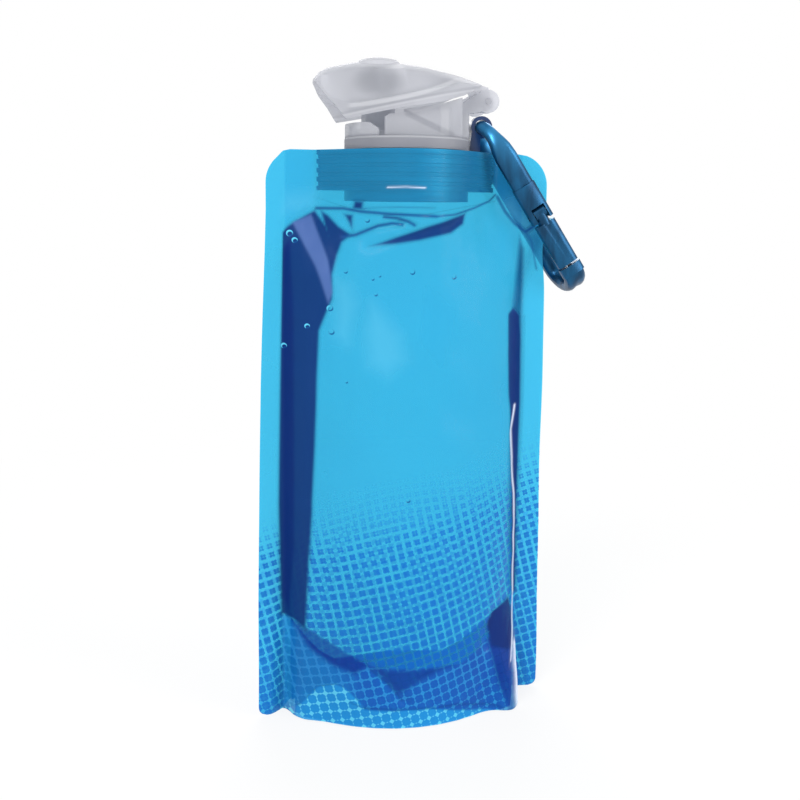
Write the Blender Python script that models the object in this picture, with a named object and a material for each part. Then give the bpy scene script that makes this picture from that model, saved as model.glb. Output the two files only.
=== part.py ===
# Collapsible pouch bottle: two side-sealed films, a folded bottom, a welded neck, a screw cap with a
# flip lid and a drinking spout, and a clip through the neck's eyelet.
# Metres, +Z up, the front towards -Y, the origin on the floor under the middle of the base.

import math

import bmesh
import bpy
from mathutils import Matrix, Vector

MM = 0.001

# Clearances
TOUCH = 0.3 * MM  # between pieces that touch
RUN = 0.4 * MM  # between pieces that turn or slide on each other
FOLD_GAP = 0.45 * MM  # between the folded bottom and the films it is sealed to

SINK = 0.4 * MM  # how deep a wall starts inside what carries it

# Pouch films
POUCH_HEIGHT = 212 * MM
POUCH_WIDTH = 111.2 * MM
SEAL_WIDTH = 10.2 * MM
FILM_WALL = 0.6 * MM
TOP_CORNER = 12 * MM
BOTTOM_CORNER = 3 * MM
BASE_DEPTH = 28 * MM  # half the filled depth at the base
WAIST_DEPTH = 24 * MM  # half the filled depth half way up
SHOULDER_DEPTH = 23 * MM  # half the filled depth under the neck
BASE_TOP = 50 * MM
WAIST_HEIGHT = 118 * MM
SHOULDER_DROP = 45 * MM
BULGE_POWER = 0.75
BULGE_STEPS = 9

# Folded bottom
BOTTOM_SEAL = 7 * MM
FOLD_RISE = 38 * MM
FOLD_START = 20 * MM
FOLD_POWER = 1.6
BELLY_SHARE = 0.6
BELLY_STEPS = 5

# Welded neck
BOAT_HALF = 33.9 * MM
BOAT_DEPTH = 24.6 * MM
BOAT_HEIGHT = 14.7 * MM
BOAT_POWER = 1.25
BOAT_TIP = 0.25 * MM
BOAT_EASE = 0.8 * MM  # how much further the films bend round the neck's tips
RIB_COUNT = 5
RIB_DEPTH = 0.6 * MM
SOCKET_DROP = 18.5 * MM
COLLAR_RADIUS = 23.25 * MM

# Screw thread between neck and cap
THREAD_CORE = 19.3 * MM
THREAD_HEIGHT = 0.9 * MM
THREAD_PITCH = 4 * MM
THREAD_STARTS = 2
THREAD_LENGTH = 11 * MM
THREAD_ROWS_PER_PITCH = 4
PLUG_LENGTH = 14 * MM
PLUG_BORE = 16.5 * MM
THREAD_MOUTH = 1.5 * MM  # how far the thread starts under the pouch's top
TURN_STEPS = 40
SPOUT_STEPS = 28
ROUND_STEPS = 24
BAR_STEPS = 20
FINE_STEPS = 16
PIN_STEPS = 12

# Eyelet on the neck
EYE_OFFSET = 28.5 * MM
EYE_RISE = 9.6 * MM
EYE_RADIUS = 4.2 * MM
EYE_WIDTH = 4 * MM
POST_WIDTH = 4.5 * MM

# Cap
FLANGE_HEIGHT = 4.35 * MM
DECK_WALL = 1.45 * MM
LINER_RADIUS = 21.3 * MM
LINER_WIDTH = 1.2 * MM
LINER_HEIGHT = 0.9 * MM
HINGE_OFFSET = 28.7 * MM
HINGE_RISE = 18.6 * MM
EAR_RADIUS = 4.3 * MM
EAR_WIDTH = 3.4 * MM
PIN_RADIUS = 1.1 * MM
SHOULDER_SPREAD = 16.5 * MM
SHOULDER_WALL = 1.6 * MM
PANEL_WALL = 0.8 * MM
PANEL_END = 17 * MM
PANEL_DROP = 0.6 * MM  # how far the side panels stay under the lid's rim
SKIRT_HEIGHT = 4.9 * MM
SKIRT_WALL = 1.4 * MM
SKIRT_INSET = 0.2 * MM
COLUMN_FRONT = 18.6 * MM
COLUMN_WALL = 1.8 * MM
COLUMN_HEIGHT = 12 * MM
EAR_FOOT = 13.6 * MM
EAR_TOP = 17.6 * MM
DECK_EDGE = 0.5 * MM

# Drinking spout and its stopper
SPOUT_OFFSET = -11 * MM
SPOUT_RADIUS = 6.8 * MM
SPOUT_BORE = 4.5 * MM
SPOUT_HEIGHT = 21.5 * MM
SPOUT_LIP = 2.6 * MM
SPOUT_WAIST = 0.6 * MM
SOCKET_WALL = 1.5 * MM
SOCKET_HEIGHT = 2.6 * MM
STOPPER_RADIUS = 7.4 * MM
STOPPER_HEIGHT = 2 * MM
STOPPER_NOSE = 2.2 * MM

# Flip lid
LID_WALL = 1.4 * MM
LID_TIP = -34.9 * MM
LID_HEEL = 26 * MM
LID_LEAST = 0.3 * MM  # least height of each of the lid's two steps
LID_CROWN = 0.27  # how far the top's edges drop, as a share of the upper step's height
LID_SHELF = 0.8 * MM  # width of the step round the lid
LID_FLAT = 0.72  # how far out the top reaches
HAIR = MM / 100  # keeps two levels apart where the lid's wall runs out
TONGUE_ROOT = 3 * MM  # how far the hinge's tongue starts inside the lid
LID_PAD_RADIUS = 8 * MM
LID_PAD_RISE = 1.2 * MM
LID_PAD_ROOT = 2 * MM  # how deep the pad starts under the lid's top
BARREL_RADIUS = 3.2 * MM
BARREL_HALF = 5.4 * MM

# Clip
CLIP_LENGTH = 70 * MM
CLIP_HALF = 9.5 * MM
CLIP_LEAN = math.radians(33)
BAR_RADIUS = 2.4 * MM
RAIL_BROAD = 4.3 * MM  # half the rail's width, seen from the side
RAIL_SLIM = 2.5 * MM  # half the rail's thickness
RAIL_GROOVE = 0.5 * MM
SLIM_POWER = 0.7  # how square the rail's section is, each way
BROAD_POWER = 0.8
RAIL_START = 2.5 * MM  # where the rails begin to broaden, below the eyelet
RAIL_GROWTH = 10 * MM
FORK_WALL = 0.35 * MM  # how far the gate's fork and nose stand proud of the rail
CLIP_BEND = 7 * MM  # how far the lower bend reaches past the straight rails
GATE_START = 38 * MM
GATE_END = 60.5 * MM
GATE_RADIUS = 2.4 * MM
GATE_BORE = 1.55 * MM
GATE_NECK = 4.3 * MM  # how far below its pivot the gate is as broad as the rail
FORK_REACH = 12 * MM  # how far the gate's fork reaches up the rail
FORK_CHEEK = 3 * MM  # and how far below the rivet
NOSE_OVERLAP = 2 * MM
STRAIGHT_STEP = 4 * MM
RAIL_HIDDEN = 8 * MM  # how far above the rivet the rail ends, inside the fork
RIVET_RADIUS = 0.8 * MM
LATCH_RADIUS = 0.7 * MM
LATCH_REACH = 3.1 * MM
LATCH_ROOT = 3 * MM
LATCH_SLOT = 2.1 * MM
PLUNGER_RADIUS = 1.2 * MM
PLUNGER_LENGTH = 3.2 * MM
BORE_END = 4.4 * MM  # how far before the gate's end its bore stops
PLUNGER_GAP = 1.6 * MM  # between the rivet and the plunger
SPRING_WIRE = 0.2 * MM
SPRING_RADIUS = 1.0 * MM
SPRING_CURLS = 7
SPRING_PITCH = 1.3 * MM
COIL_STEPS = 8

# Where things meet
FLANGE_BOTTOM = POUCH_HEIGHT + TOUCH
DECK_TOP = FLANGE_BOTTOM + FLANGE_HEIGHT
BORE_RADIUS = THREAD_CORE + THREAD_HEIGHT + RUN
HINGE = Vector((HINGE_OFFSET, 0, POUCH_HEIGHT + HINGE_RISE))
EYE = Vector((EYE_OFFSET, 0, POUCH_HEIGHT + EYE_RISE))
SPOUT_FOOT = DECK_TOP + TOUCH
SPOUT_TOP = SPOUT_FOOT + SPOUT_HEIGHT
INNER_HALF = POUCH_WIDTH / 2 - SEAL_WIDTH
SHOULDER_HEIGHT = POUCH_HEIGHT - SHOULDER_DROP
CLIP_DOWN = Vector((math.sin(CLIP_LEAN), 0, -math.cos(CLIP_LEAN)))
CLIP_SIDE = Vector((math.cos(CLIP_LEAN), 0, math.sin(CLIP_LEAN)))
ACROSS = Vector((0, 1, 0))


def clear_scene():
    for obj in list(bpy.data.objects):
        bpy.data.objects.remove(obj)


def material(name, colour, roughness, metallic=0.0):
    made = bpy.data.materials.new(name)
    made.use_nodes = True
    shader = made.node_tree.nodes["Principled BSDF"]
    shader.inputs["Base Color"].default_value = (*colour, 1)
    shader.inputs["Roughness"].default_value = roughness
    shader.inputs["Metallic"].default_value = metallic
    return made


def solid(name, bm, finish, pivot=(0, 0, 0), cutter=False):
    """One object of this mesh, with its origin at the pivot."""
    bmesh.ops.translate(bm, verts=bm.verts, vec=-Vector(pivot))
    mesh = bpy.data.meshes.new(name)
    bm.to_mesh(mesh)
    bm.free()
    mesh.shade_smooth()
    mesh.set_sharp_from_angle(angle=math.radians(35))
    obj = bpy.data.objects.new(name, mesh)
    bpy.context.scene.collection.objects.link(obj)
    obj.location = pivot
    if finish:
        mesh.materials.append(finish)
    if cutter:
        obj.hide_render = True
        obj.display_type = "WIRE"
    return obj


def combine(obj, operation, *others):
    """Joins hidden helper solids to this object, or cuts them from it."""
    for other in others:
        cut = obj.modifiers.new(operation.title() + " " + other.name, "BOOLEAN")
        cut.operation = operation
        cut.object = other
        cut.solver = "EXACT"


def ease(value):
    value = min(1.0, max(0.0, value))
    return value * value * (3 - 2 * value)


def through(points, place):
    """The value at a place on the straight lines through (place, value) points."""
    if place <= points[0][0]:
        return points[0][1]
    for (start, low), (end, high) in zip(points, points[1:]):
        if place <= end:
            return low + (high - low) * (place - start) / (end - start)
    return points[-1][1]


def turned(profile, steps=TURN_STEPS, centre=(0, 0)):
    """A solid turned about a vertical axis: the profile runs axis to axis, or is a closed loop."""
    bm = bmesh.new()
    verts = [bm.verts.new((radius, 0, height)) for radius, height in profile]
    edges = [bm.edges.new(pair) for pair in zip(verts, verts[1:])]
    if profile[0][0] > 0:
        edges.append(bm.edges.new((verts[-1], verts[0])))
    bmesh.ops.spin(bm, geom=verts + edges, cent=(0, 0, 0), axis=(0, 0, 1),
                   angle=math.tau, steps=steps, use_merge=True)
    bmesh.ops.remove_doubles(bm, verts=bm.verts, dist=1e-7)
    bmesh.ops.recalc_face_normals(bm, faces=bm.faces)
    bmesh.ops.translate(bm, verts=bm.verts, vec=(*centre, 0))
    return bm


def bar(start, end, radius, sides=BAR_STEPS):
    """A round bar between two points."""
    start, end = Vector(start), Vector(end)
    bm = bmesh.new()
    turn = (end - start).to_track_quat("Z", "Y").to_matrix().to_4x4()
    place = Matrix.Translation((start + end) / 2) @ turn
    bmesh.ops.create_cone(bm, cap_ends=True, segments=sides, radius1=radius, radius2=radius,
                          depth=(end - start).length, matrix=place)
    return bm


def plate(outline, low, high):
    """An outline in the XZ plane, given as (x, z) points, extruded from y = low to y = high."""
    bm = bmesh.new()
    face = bm.faces.new([bm.verts.new((x, low, z)) for x, z in outline])
    made = bmesh.ops.extrude_face_region(bm, geom=[face])
    moved = [item for item in made["geom"] if isinstance(item, bmesh.types.BMVert)]
    bmesh.ops.translate(bm, verts=moved, vec=(0, high - low, 0))
    bmesh.ops.recalc_face_normals(bm, faces=bm.faces)
    return bm


def loft(rings):
    """A solid through rings of points, closed at both ends."""
    bm = bmesh.new()
    loops = [[bm.verts.new(point) for point in ring] for ring in rings]
    for low, high in zip(loops, loops[1:]):
        for here in range(len(low)):
            after = (here + 1) % len(low)
            bm.faces.new((low[here], low[after], high[after], high[here]))
    bm.faces.new(loops[0])
    bm.faces.new(loops[-1])
    bmesh.ops.recalc_face_normals(bm, faces=bm.faces)
    return bm


def thicken(obj, offset):
    wall = obj.modifiers.new("Wall", "SOLIDIFY")
    wall.thickness = FILM_WALL
    wall.offset = offset
    wall.use_even_offset = False


# Pouch


def boat_outline(x, half, depth):
    return depth * max(0.0, 1 - (x / half) ** 2) ** BOAT_POWER


def bulge_stations():
    """The x places of the films' columns between the seals, close together near the seals."""
    return [INNER_HALF * math.sin(math.pi / 2 * step / BULGE_STEPS)
            for step in range(-BULGE_STEPS, BULGE_STEPS + 1)]


def filled_depth(z):
    if z < WAIST_HEIGHT:
        share = ease((z - BASE_TOP) / (WAIST_HEIGHT - BASE_TOP))
        return BASE_DEPTH + (WAIST_DEPTH - BASE_DEPTH) * share
    share = ease((z - WAIST_HEIGHT) / (SHOULDER_HEIGHT - WAIST_HEIGHT))
    return WAIST_DEPTH + (SHOULDER_DEPTH - WAIST_DEPTH) * share


def film_depth(x, z):
    """How far the inside of a film stands from the middle plane."""
    inner = max(0.0, 1 - (x / INNER_HALF) ** 2) ** BULGE_POWER
    round_neck = boat_outline(x, BOAT_HALF + BOAT_EASE, BOAT_DEPTH + TOUCH)
    share = ease((z - SHOULDER_HEIGHT) / (POUCH_HEIGHT - SOCKET_DROP - SHOULDER_HEIGHT))
    return TOUCH / 2 + filled_depth(z) * inner * (1 - share) + round_neck * share


def half_width(z):
    """Half the film's width at a height, less at its rounded corners."""
    half = POUCH_WIDTH / 2
    corners = ((TOP_CORNER, z - (POUCH_HEIGHT - TOP_CORNER)), (BOTTOM_CORNER, BOTTOM_CORNER - z))
    for radius, into in corners:
        if into > 0:
            half += math.sqrt(max(0.0, radius ** 2 - into ** 2)) - radius
    return half


def film_rows():
    """Heights of a film's rows: close together at the corners and under the neck."""
    corner = [BOTTOM_CORNER * (1 - math.cos(math.radians(angle))) for angle in (0, 45, 90)]
    body = [BOTTOM_SEAL + (SHOULDER_HEIGHT - BOTTOM_SEAL) * step / 9 for step in range(10)]
    neck_bottom = POUCH_HEIGHT - SOCKET_DROP
    shoulder = [SHOULDER_HEIGHT + (neck_bottom - SHOULDER_HEIGHT) * step / 4 for step in range(1, 5)]
    top = [POUCH_HEIGHT - TOP_CORNER * (1 - math.sin(math.radians(angle))) for angle in (0, 22, 42, 62, 90)]
    return corner + body + shoulder + top


def make_film(name, side, finish):
    """side is -1 for the front film and 1 for the back film."""
    edge = POUCH_WIDTH / 2
    seal = (edge + INNER_HALF) / 2
    columns = [-edge, -seal, *bulge_stations(), seal, edge]
    rows = film_rows()
    bm = bmesh.new()
    bmesh.ops.create_grid(bm, x_segments=len(columns) - 1, y_segments=len(rows) - 1, size=1)
    for vert in bm.verts:
        x = columns[round((vert.co.x + 1) / 2 * (len(columns) - 1))]
        z = rows[round((vert.co.y + 1) / 2 * (len(rows) - 1))]
        y = film_depth(x, z)
        steady = INNER_HALF if z < SHOULDER_HEIGHT else BOAT_HALF + MM
        beyond = abs(x) - steady
        if beyond > 0:
            x = math.copysign(steady + beyond * (half_width(z) - steady) / (edge - steady), x)
        vert.co = (x, side * y, z)
    film = solid(name, bm, finish)
    thicken(film, -side)
    return film


def seal_height(x):
    share = max(0.0, abs(x) - FOLD_START) / (INNER_HALF - FOLD_START)
    return BOTTOM_SEAL + (FOLD_RISE - BOTTOM_SEAL) * share ** FOLD_POWER


def fold_height(x):
    share = max(0.0, abs(x) - FOLD_START) / (INNER_HALF - FOLD_START)
    return (FOLD_RISE - BOTTOM_SEAL / 2) * share ** FOLD_POWER


def make_gusset(finish):
    """The folded bottom: sealed inside both films, with a belly on the floor between them."""
    columns = bulge_stations()[2:-2]
    shares = [step / BELLY_STEPS for step in range(-BELLY_STEPS, BELLY_STEPS + 1)]
    rows = [(-1, 0), (-1, 0.5), *((share, 1) for share in shares), (1, 0.5), (1, 0)]
    bm = bmesh.new()
    bmesh.ops.create_grid(bm, x_segments=len(columns) - 1, y_segments=len(rows) - 1, size=1)
    for vert in bm.verts:
        x = columns[round((vert.co.x + 1) / 2 * (len(columns) - 1))]
        share, up = rows[round((vert.co.y + 1) / 2 * (len(rows) - 1))]
        slope = (film_depth(x + MM, 0) - film_depth(x - MM, 0)) / (2 * MM)
        reach = film_depth(x, 0) - FOLD_GAP * math.hypot(1, slope)
        lift = max(0.0, (abs(share) - BELLY_SHARE) / (1 - BELLY_SHARE))
        z = FILM_WALL + fold_height(x) * (1 - abs(share)) + (seal_height(x) - FILM_WALL) * lift ** 2
        if abs(share) == 1:
            z = seal_height(x) * up
        vert.co = (x, share * reach, z)
    bmesh.ops.recalc_face_normals(bm, faces=bm.faces)
    gusset = solid("bottom_gusset", bm, finish)
    middle = min(gusset.data.polygons, key=lambda face: (face.center - Vector((0, 0, 0))).length)
    thicken(gusset, -1 if middle.normal.z > 0 else 1)
    return gusset


# Neck


def make_neck(finish):
    stations = [x for x in bulge_stations() if abs(x) < BOAT_HALF]
    boat_bottom = POUCH_HEIGHT - BOAT_HEIGHT
    pitch = BOAT_HEIGHT / (RIB_COUNT - 0.5)

    def ring(z, inset):
        half, depth = BOAT_HALF - inset, BOAT_DEPTH - inset
        side = [(x, boat_outline(x, half, depth) if abs(x) < half else BOAT_TIP) for x in stations]
        front = [Vector((x, -max(y, BOAT_TIP), z)) for x, y in side]
        back = [Vector((x, max(y, BOAT_TIP), z)) for x, y in reversed(side)]
        tips = [[Vector((way * half, -way * BOAT_TIP, z)), Vector((way * half, way * BOAT_TIP, z))]
                for way in (1, -1)]
        return front + tips[0] + back + tips[1]

    levels = []
    for rib in range(RIB_COUNT):
        low = boat_bottom + pitch * rib
        levels += [(low, 0), (low + pitch / 2, 0)]
        if rib < RIB_COUNT - 1:
            levels += [(low + pitch / 2 + RIB_DEPTH / 2, RIB_DEPTH), (low + pitch - RIB_DEPTH / 2, RIB_DEPTH)]
    boat = loft([ring(z, inset) for z, inset in levels])
    neck = solid("neck_fitment", boat, finish)

    socket = turned([(0, POUCH_HEIGHT - SOCKET_DROP), (COLLAR_RADIUS, POUCH_HEIGHT - SOCKET_DROP),
                     (COLLAR_RADIUS, POUCH_HEIGHT), (0, POUCH_HEIGHT)])
    post_left = COLLAR_RADIUS + TOUCH
    post = plate([(post_left, POUCH_HEIGHT - MM), (post_left + POST_WIDTH, POUCH_HEIGHT - MM),
                  (post_left + POST_WIDTH, EYE.z - EYE_RADIUS / 2), (post_left + MM, EYE.z - EYE_RADIUS / 2)],
                 -EYE_WIDTH / 2, EYE_WIDTH / 2)
    eye = bar(EYE - ACROSS * EYE_WIDTH / 2, EYE + ACROSS * EYE_WIDTH / 2, EYE_RADIUS, ROUND_STEPS)
    hole = bar(EYE - ACROSS * EYE_WIDTH, EYE + ACROSS * EYE_WIDTH, BAR_RADIUS + RUN)
    combine(neck, "UNION",
            solid("socket_tube", socket, None, cutter=True),
            solid("eyelet_post", post, None, cutter=True),
            solid("eyelet_ring", eye, None, cutter=True))
    combine(neck, "DIFFERENCE",
            solid("eyelet_hole", hole, None, cutter=True),
            solid("neck_bore", threaded_bore(), None, cutter=True))
    return neck


def thread_rise(vert, shift):
    """The share of the thread's height at a point; the helix climbs the same way in neck and cap."""
    lead = THREAD_PITCH * THREAD_STARTS
    turn = math.atan2(vert.co.y, vert.co.x) / math.tau
    phase = (vert.co.z - lead * turn) / THREAD_PITCH + shift
    return (1 + math.cos(math.tau * phase)) / 2


def thread_heights(top):
    rows = round(THREAD_LENGTH / THREAD_PITCH * THREAD_ROWS_PER_PITCH)
    return [top - THREAD_LENGTH + THREAD_LENGTH * row / rows for row in range(rows + 1)]


def cut_thread(bm, radius, heights, height, shift):
    """Moves the turned wall at this radius in or out along the helix."""
    for vert in bm.verts:
        here = math.hypot(vert.co.x, vert.co.y)
        if abs(here - radius) < MM / 50 and heights[0] - MM / 50 < vert.co.z < heights[-1] + MM / 50:
            grown = (radius + height * thread_rise(vert, shift)) / here
            vert.co.x *= grown
            vert.co.y *= grown


def threaded_bore():
    """What the neck's bore removes: a plain cylinder with the thread's ridges left standing."""
    heights = thread_heights(POUCH_HEIGHT - THREAD_MOUTH)
    bottom = POUCH_HEIGHT - SOCKET_DROP - 2 * MM
    mouth = BORE_RADIUS + RUN
    profile = [(0, bottom), (BORE_RADIUS + RUN / 4, bottom)]
    profile += [(BORE_RADIUS, height) for height in heights]
    profile += [(mouth, POUCH_HEIGHT), (mouth, POUCH_HEIGHT + 2 * MM), (0, POUCH_HEIGHT + 2 * MM)]
    bm = turned(profile)
    cut_thread(bm, BORE_RADIUS, heights, -THREAD_HEIGHT, 0.5)
    return bm


# Cap


def make_liner(finish):
    inner, outer = LINER_RADIUS - LINER_WIDTH / 2, LINER_RADIUS + LINER_WIDTH / 2
    low, high = FLANGE_BOTTOM, FLANGE_BOTTOM + LINER_HEIGHT
    return solid("cap_liner", turned([(inner, low), (inner, high), (outer, high), (outer, low)]), finish)


def flange_and_plug():
    groove_in = LINER_RADIUS - LINER_WIDTH / 2 - TOUCH
    groove_out = LINER_RADIUS + LINER_WIDTH / 2 + TOUCH
    groove_top = FLANGE_BOTTOM + LINER_HEIGHT + TOUCH
    plug_bottom = POUCH_HEIGHT - PLUG_LENGTH
    heights = thread_heights(POUCH_HEIGHT - THREAD_MOUTH)
    profile = [(0, DECK_TOP - DECK_WALL), (PLUG_BORE, DECK_TOP - DECK_WALL), (PLUG_BORE, plug_bottom)]
    profile += [(THREAD_CORE - DECK_EDGE, plug_bottom)]
    profile += [(THREAD_CORE, height) for height in heights]
    profile += [(THREAD_CORE, FLANGE_BOTTOM), (groove_in, FLANGE_BOTTOM), (groove_in, groove_top),
                (groove_out, groove_top), (groove_out, FLANGE_BOTTOM), (COLLAR_RADIUS, FLANGE_BOTTOM),
                (COLLAR_RADIUS, DECK_TOP - DECK_EDGE), (COLLAR_RADIUS - DECK_EDGE, DECK_TOP), (0, DECK_TOP)]
    bm = turned(profile)
    cut_thread(bm, THREAD_CORE, heights, THREAD_HEIGHT, 0)
    return bm


# The side wall's upper edge: place along x and height above the pouch's top
SHOULDER_LINE = [(-11.6 * MM, 11.4 * MM), (-10.2 * MM, 12.4 * MM), (-4.6 * MM, 13.2 * MM),
                 (14.3 * MM, 5 * MM)]


def shoulder_outline():
    """The side wall: upright in front, sloping down to the deck behind."""
    wall = [(x, POUCH_HEIGHT + height) for x, height in SHOULDER_LINE]
    return [(wall[0][0], DECK_TOP - SINK), *wall, (wall[-1][0], DECK_TOP - SINK)]


def panel_outline():
    """The thin panel behind the side wall's slope, up to just under the closed lid."""
    start = SHOULDER_LINE[2][0]
    tops = [(x, POUCH_HEIGHT + through(LID_RIM, x) - PANEL_DROP) for x in (start, LID_RIM[7][0], PANEL_END)]
    return [(start, DECK_TOP - SINK), *tops, (PANEL_END, DECK_TOP - SINK)]


def ear_outline():
    """The rear column's side with the hinge ear at its top."""
    turns = [math.radians(angle) for angle in range(-120, 121, 20)]
    arc = [(HINGE.x + EAR_RADIUS * math.cos(turn), HINGE.z + EAR_RADIUS * math.sin(turn)) for turn in turns]
    back = COLLAR_RADIUS - MM
    return [(COLUMN_FRONT, DECK_TOP - SINK), (back, DECK_TOP - SINK), (back, POUCH_HEIGHT + EAR_FOOT), *arc,
            (COLUMN_FRONT, POUCH_HEIGHT + EAR_TOP)]


def make_cap(finish):
    cap = solid("cap_shell", flange_and_plug(), finish)
    ear_in = BARREL_HALF + RUN
    ear_out = ear_in + EAR_WIDTH
    left = SHOULDER_SPREAD - SHOULDER_WALL
    joined = [
        solid("shoulder_near", plate(shoulder_outline(), -SHOULDER_SPREAD, -left), None, cutter=True),
        solid("shoulder_far", plate(shoulder_outline(), left, SHOULDER_SPREAD), None, cutter=True),
        solid("panel_near", plate(panel_outline(), -left - PANEL_WALL, -left - SINK / 2), None, cutter=True),
        solid("panel_far", plate(panel_outline(), left + SINK / 2, left + PANEL_WALL), None, cutter=True),
        solid("ear_near", plate(ear_outline(), -ear_out, -ear_in), None, cutter=True),
        solid("ear_far", plate(ear_outline(), ear_in, ear_out), None, cutter=True),
    ]
    wall_top, wall_back = POUCH_HEIGHT + COLUMN_HEIGHT, COLUMN_FRONT + COLUMN_WALL
    wall = plate([(COLUMN_FRONT, DECK_TOP - DECK_EDGE), (wall_back, DECK_TOP - DECK_EDGE),
                  (wall_back, wall_top), (COLUMN_FRONT, wall_top)], -ear_in - MM, ear_in + MM)
    joined.append(solid("column_wall", wall, None, cutter=True))
    socket_in = SPOUT_RADIUS + TOUCH
    socket = turned([(socket_in, DECK_TOP - SINK), (socket_in, DECK_TOP + SOCKET_HEIGHT),
                     (socket_in + SOCKET_WALL, DECK_TOP + SOCKET_HEIGHT),
                     (socket_in + SOCKET_WALL, DECK_TOP - SINK)], SPOUT_STEPS, (SPOUT_OFFSET, 0))
    joined.append(solid("spout_socket", socket, None, cutter=True))
    joined.append(solid("front_skirt", front_skirt(), None, cutter=True))
    combine(cap, "UNION", *joined)

    sweep_in, sweep_out = COLLAR_RADIUS - MM / 20, COLLAR_RADIUS + 2 * EYE_RADIUS
    sweep_low, sweep_top = DECK_TOP - SINK / 2, EYE.z + EYE_RADIUS + TOUCH
    sweep = turned([(sweep_in, sweep_low), (sweep_in, sweep_top),
                    (sweep_out, sweep_top), (sweep_out, sweep_low)])
    reach = ear_out + MM
    port_reach = 2 * DECK_WALL
    port = bar((SPOUT_OFFSET, 0, DECK_TOP - port_reach), (SPOUT_OFFSET, 0, DECK_TOP + port_reach),
               SPOUT_BORE, ROUND_STEPS)
    combine(cap, "DIFFERENCE",
            solid("eyelet_sweep", sweep, None, cutter=True),
            solid("drink_port", port, None, cutter=True),
            solid("pin_hole", bar(HINGE - ACROSS * reach, HINGE + ACROSS * reach,
                                  PIN_RADIUS + TOUCH / 2, FINE_STEPS), None, cutter=True))
    return cap


def front_skirt():
    """A curved wall under the lid's front, a half turn from the hinge."""
    inner, outer = COLLAR_RADIUS - SKIRT_INSET - SKIRT_WALL, COLLAR_RADIUS - SKIRT_INSET
    low = DECK_TOP - SINK
    rings = []
    for angle in range(-50, 51, 10):
        turn = math.pi + math.radians(angle)
        top = DECK_TOP + SKIRT_HEIGHT * ease((64 - abs(angle)) / 27)
        rings.append([(radius * math.cos(turn), radius * math.sin(turn), z)
                      for radius, z in ((inner, low), (outer, low), (outer, top), (inner, top))])
    return loft(rings)


def make_pin(finish):
    reach = BARREL_HALF + RUN + EAR_WIDTH
    pin = bar(HINGE - ACROSS * reach, HINGE + ACROSS * reach, PIN_RADIUS, FINE_STEPS)
    return solid("hinge_pin", pin, finish, HINGE)


def make_spout(finish):
    outer, inner = SPOUT_RADIUS, SPOUT_BORE
    foot, top = SPOUT_FOOT, SPOUT_TOP
    waist = outer - SPOUT_WAIST
    profile = [(inner, foot), (inner, top - SPOUT_WAIST), (inner + SPOUT_WAIST, top), (outer - MM, top),
               (outer, top - MM), (outer, top - SPOUT_LIP), (waist, top - SPOUT_LIP - SPOUT_WAIST),
               (waist, foot + SOCKET_HEIGHT + MM), (outer, foot + SOCKET_HEIGHT), (outer, foot)]
    return solid("drinking_spout", turned(profile, SPOUT_STEPS, (SPOUT_OFFSET, 0)), finish)


# Lid: (place along x, value) lines of its section, relative to the top of the pouch

LID_TOP = [(LID_TIP, 25.8 * MM), (-33 * MM, 28 * MM), (-29.8 * MM, 29.7 * MM), (-20.9 * MM, 31.8 * MM),
           (-12.8 * MM, 32.4 * MM), (-4.6 * MM, 32.1 * MM), (4.7 * MM, 31 * MM), (15.9 * MM, 28.4 * MM),
           (LID_HEEL, 25.2 * MM)]
LID_RIM = [(LID_TIP, 24.5 * MM), (-32.2 * MM, 19.8 * MM), (-28.7 * MM, 15.9 * MM), (-25.6 * MM, 11.6 * MM),
           (-24.8 * MM, 10.7 * MM), (-15.9 * MM, 12.6 * MM), (-3.1 * MM, 15.1 * MM), (8.9 * MM, 17.1 * MM),
           (17.8 * MM, 19.8 * MM), (LID_HEEL, 23.8 * MM)]
LID_STEP = [(LID_TIP, 24.9 * MM), (-30 * MM, 18.6 * MM), (-22.1 * MM, 15.9 * MM), (16.7 * MM, 24.1 * MM),
            (LID_HEEL, 24.6 * MM)]
LID_HALF = [(LID_TIP, 4 * MM), (-33 * MM, 6.4 * MM), (-28.7 * MM, 9 * MM), (-25.6 * MM, 10.8 * MM),
            (-24.8 * MM, 11.3 * MM), (-22.5 * MM, 12.9 * MM), (-20.9 * MM, 14 * MM), (-15.9 * MM, 16.9 * MM),
            (-9.5 * MM, 18.9 * MM), (-3.1 * MM, 19.6 * MM), (8.9 * MM, 19 * MM), (17.8 * MM, 15.6 * MM),
            (LID_HEEL, 9.5 * MM)]


def lid_section(x):
    """A closed ring round the lid's wall at x: out over the top and back inside."""
    top, rim = POUCH_HEIGHT + through(LID_TOP, x), POUCH_HEIGHT + through(LID_RIM, x)
    half = through(LID_HALF, x)
    step = min(max(POUCH_HEIGHT + through(LID_STEP, x), rim + LID_LEAST), top - LID_LEAST)
    crown = LID_CROWN * (top - step)
    shelf = min(LID_SHELF, half / 8)

    def arch(half, step, top, crown):
        over = [(share * half * LID_FLAT, top - crown * share ** 2) for share in (1, 0.5, 0, -0.5, -1)]
        return [(half, step), *over, (-half, step)]

    edge = LID_LEAST / 2
    outside = [(half, rim), (half, step - edge), *arch(half - shelf, step, top, crown),
               (-half, step - edge), (-half, rim)]
    wall = min(LID_WALL, half / 3)
    inner_top = max(top - LID_WALL, rim + 6 * HAIR)
    inner_step = min(max(step - LID_WALL / 2, rim + 4 * HAIR), inner_top - HAIR)
    inner_crown = min(crown, (inner_top - inner_step) / 2)
    inside = [(half - wall, rim), (half - wall, inner_step - 2 * HAIR),
              *arch(half - shelf - wall, inner_step, inner_top, inner_crown),
              (wall - half, inner_step - 2 * HAIR), (wall - half, rim)]
    return [Vector((x, y, z)) for y, z in outside + inside[::-1]]


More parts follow.
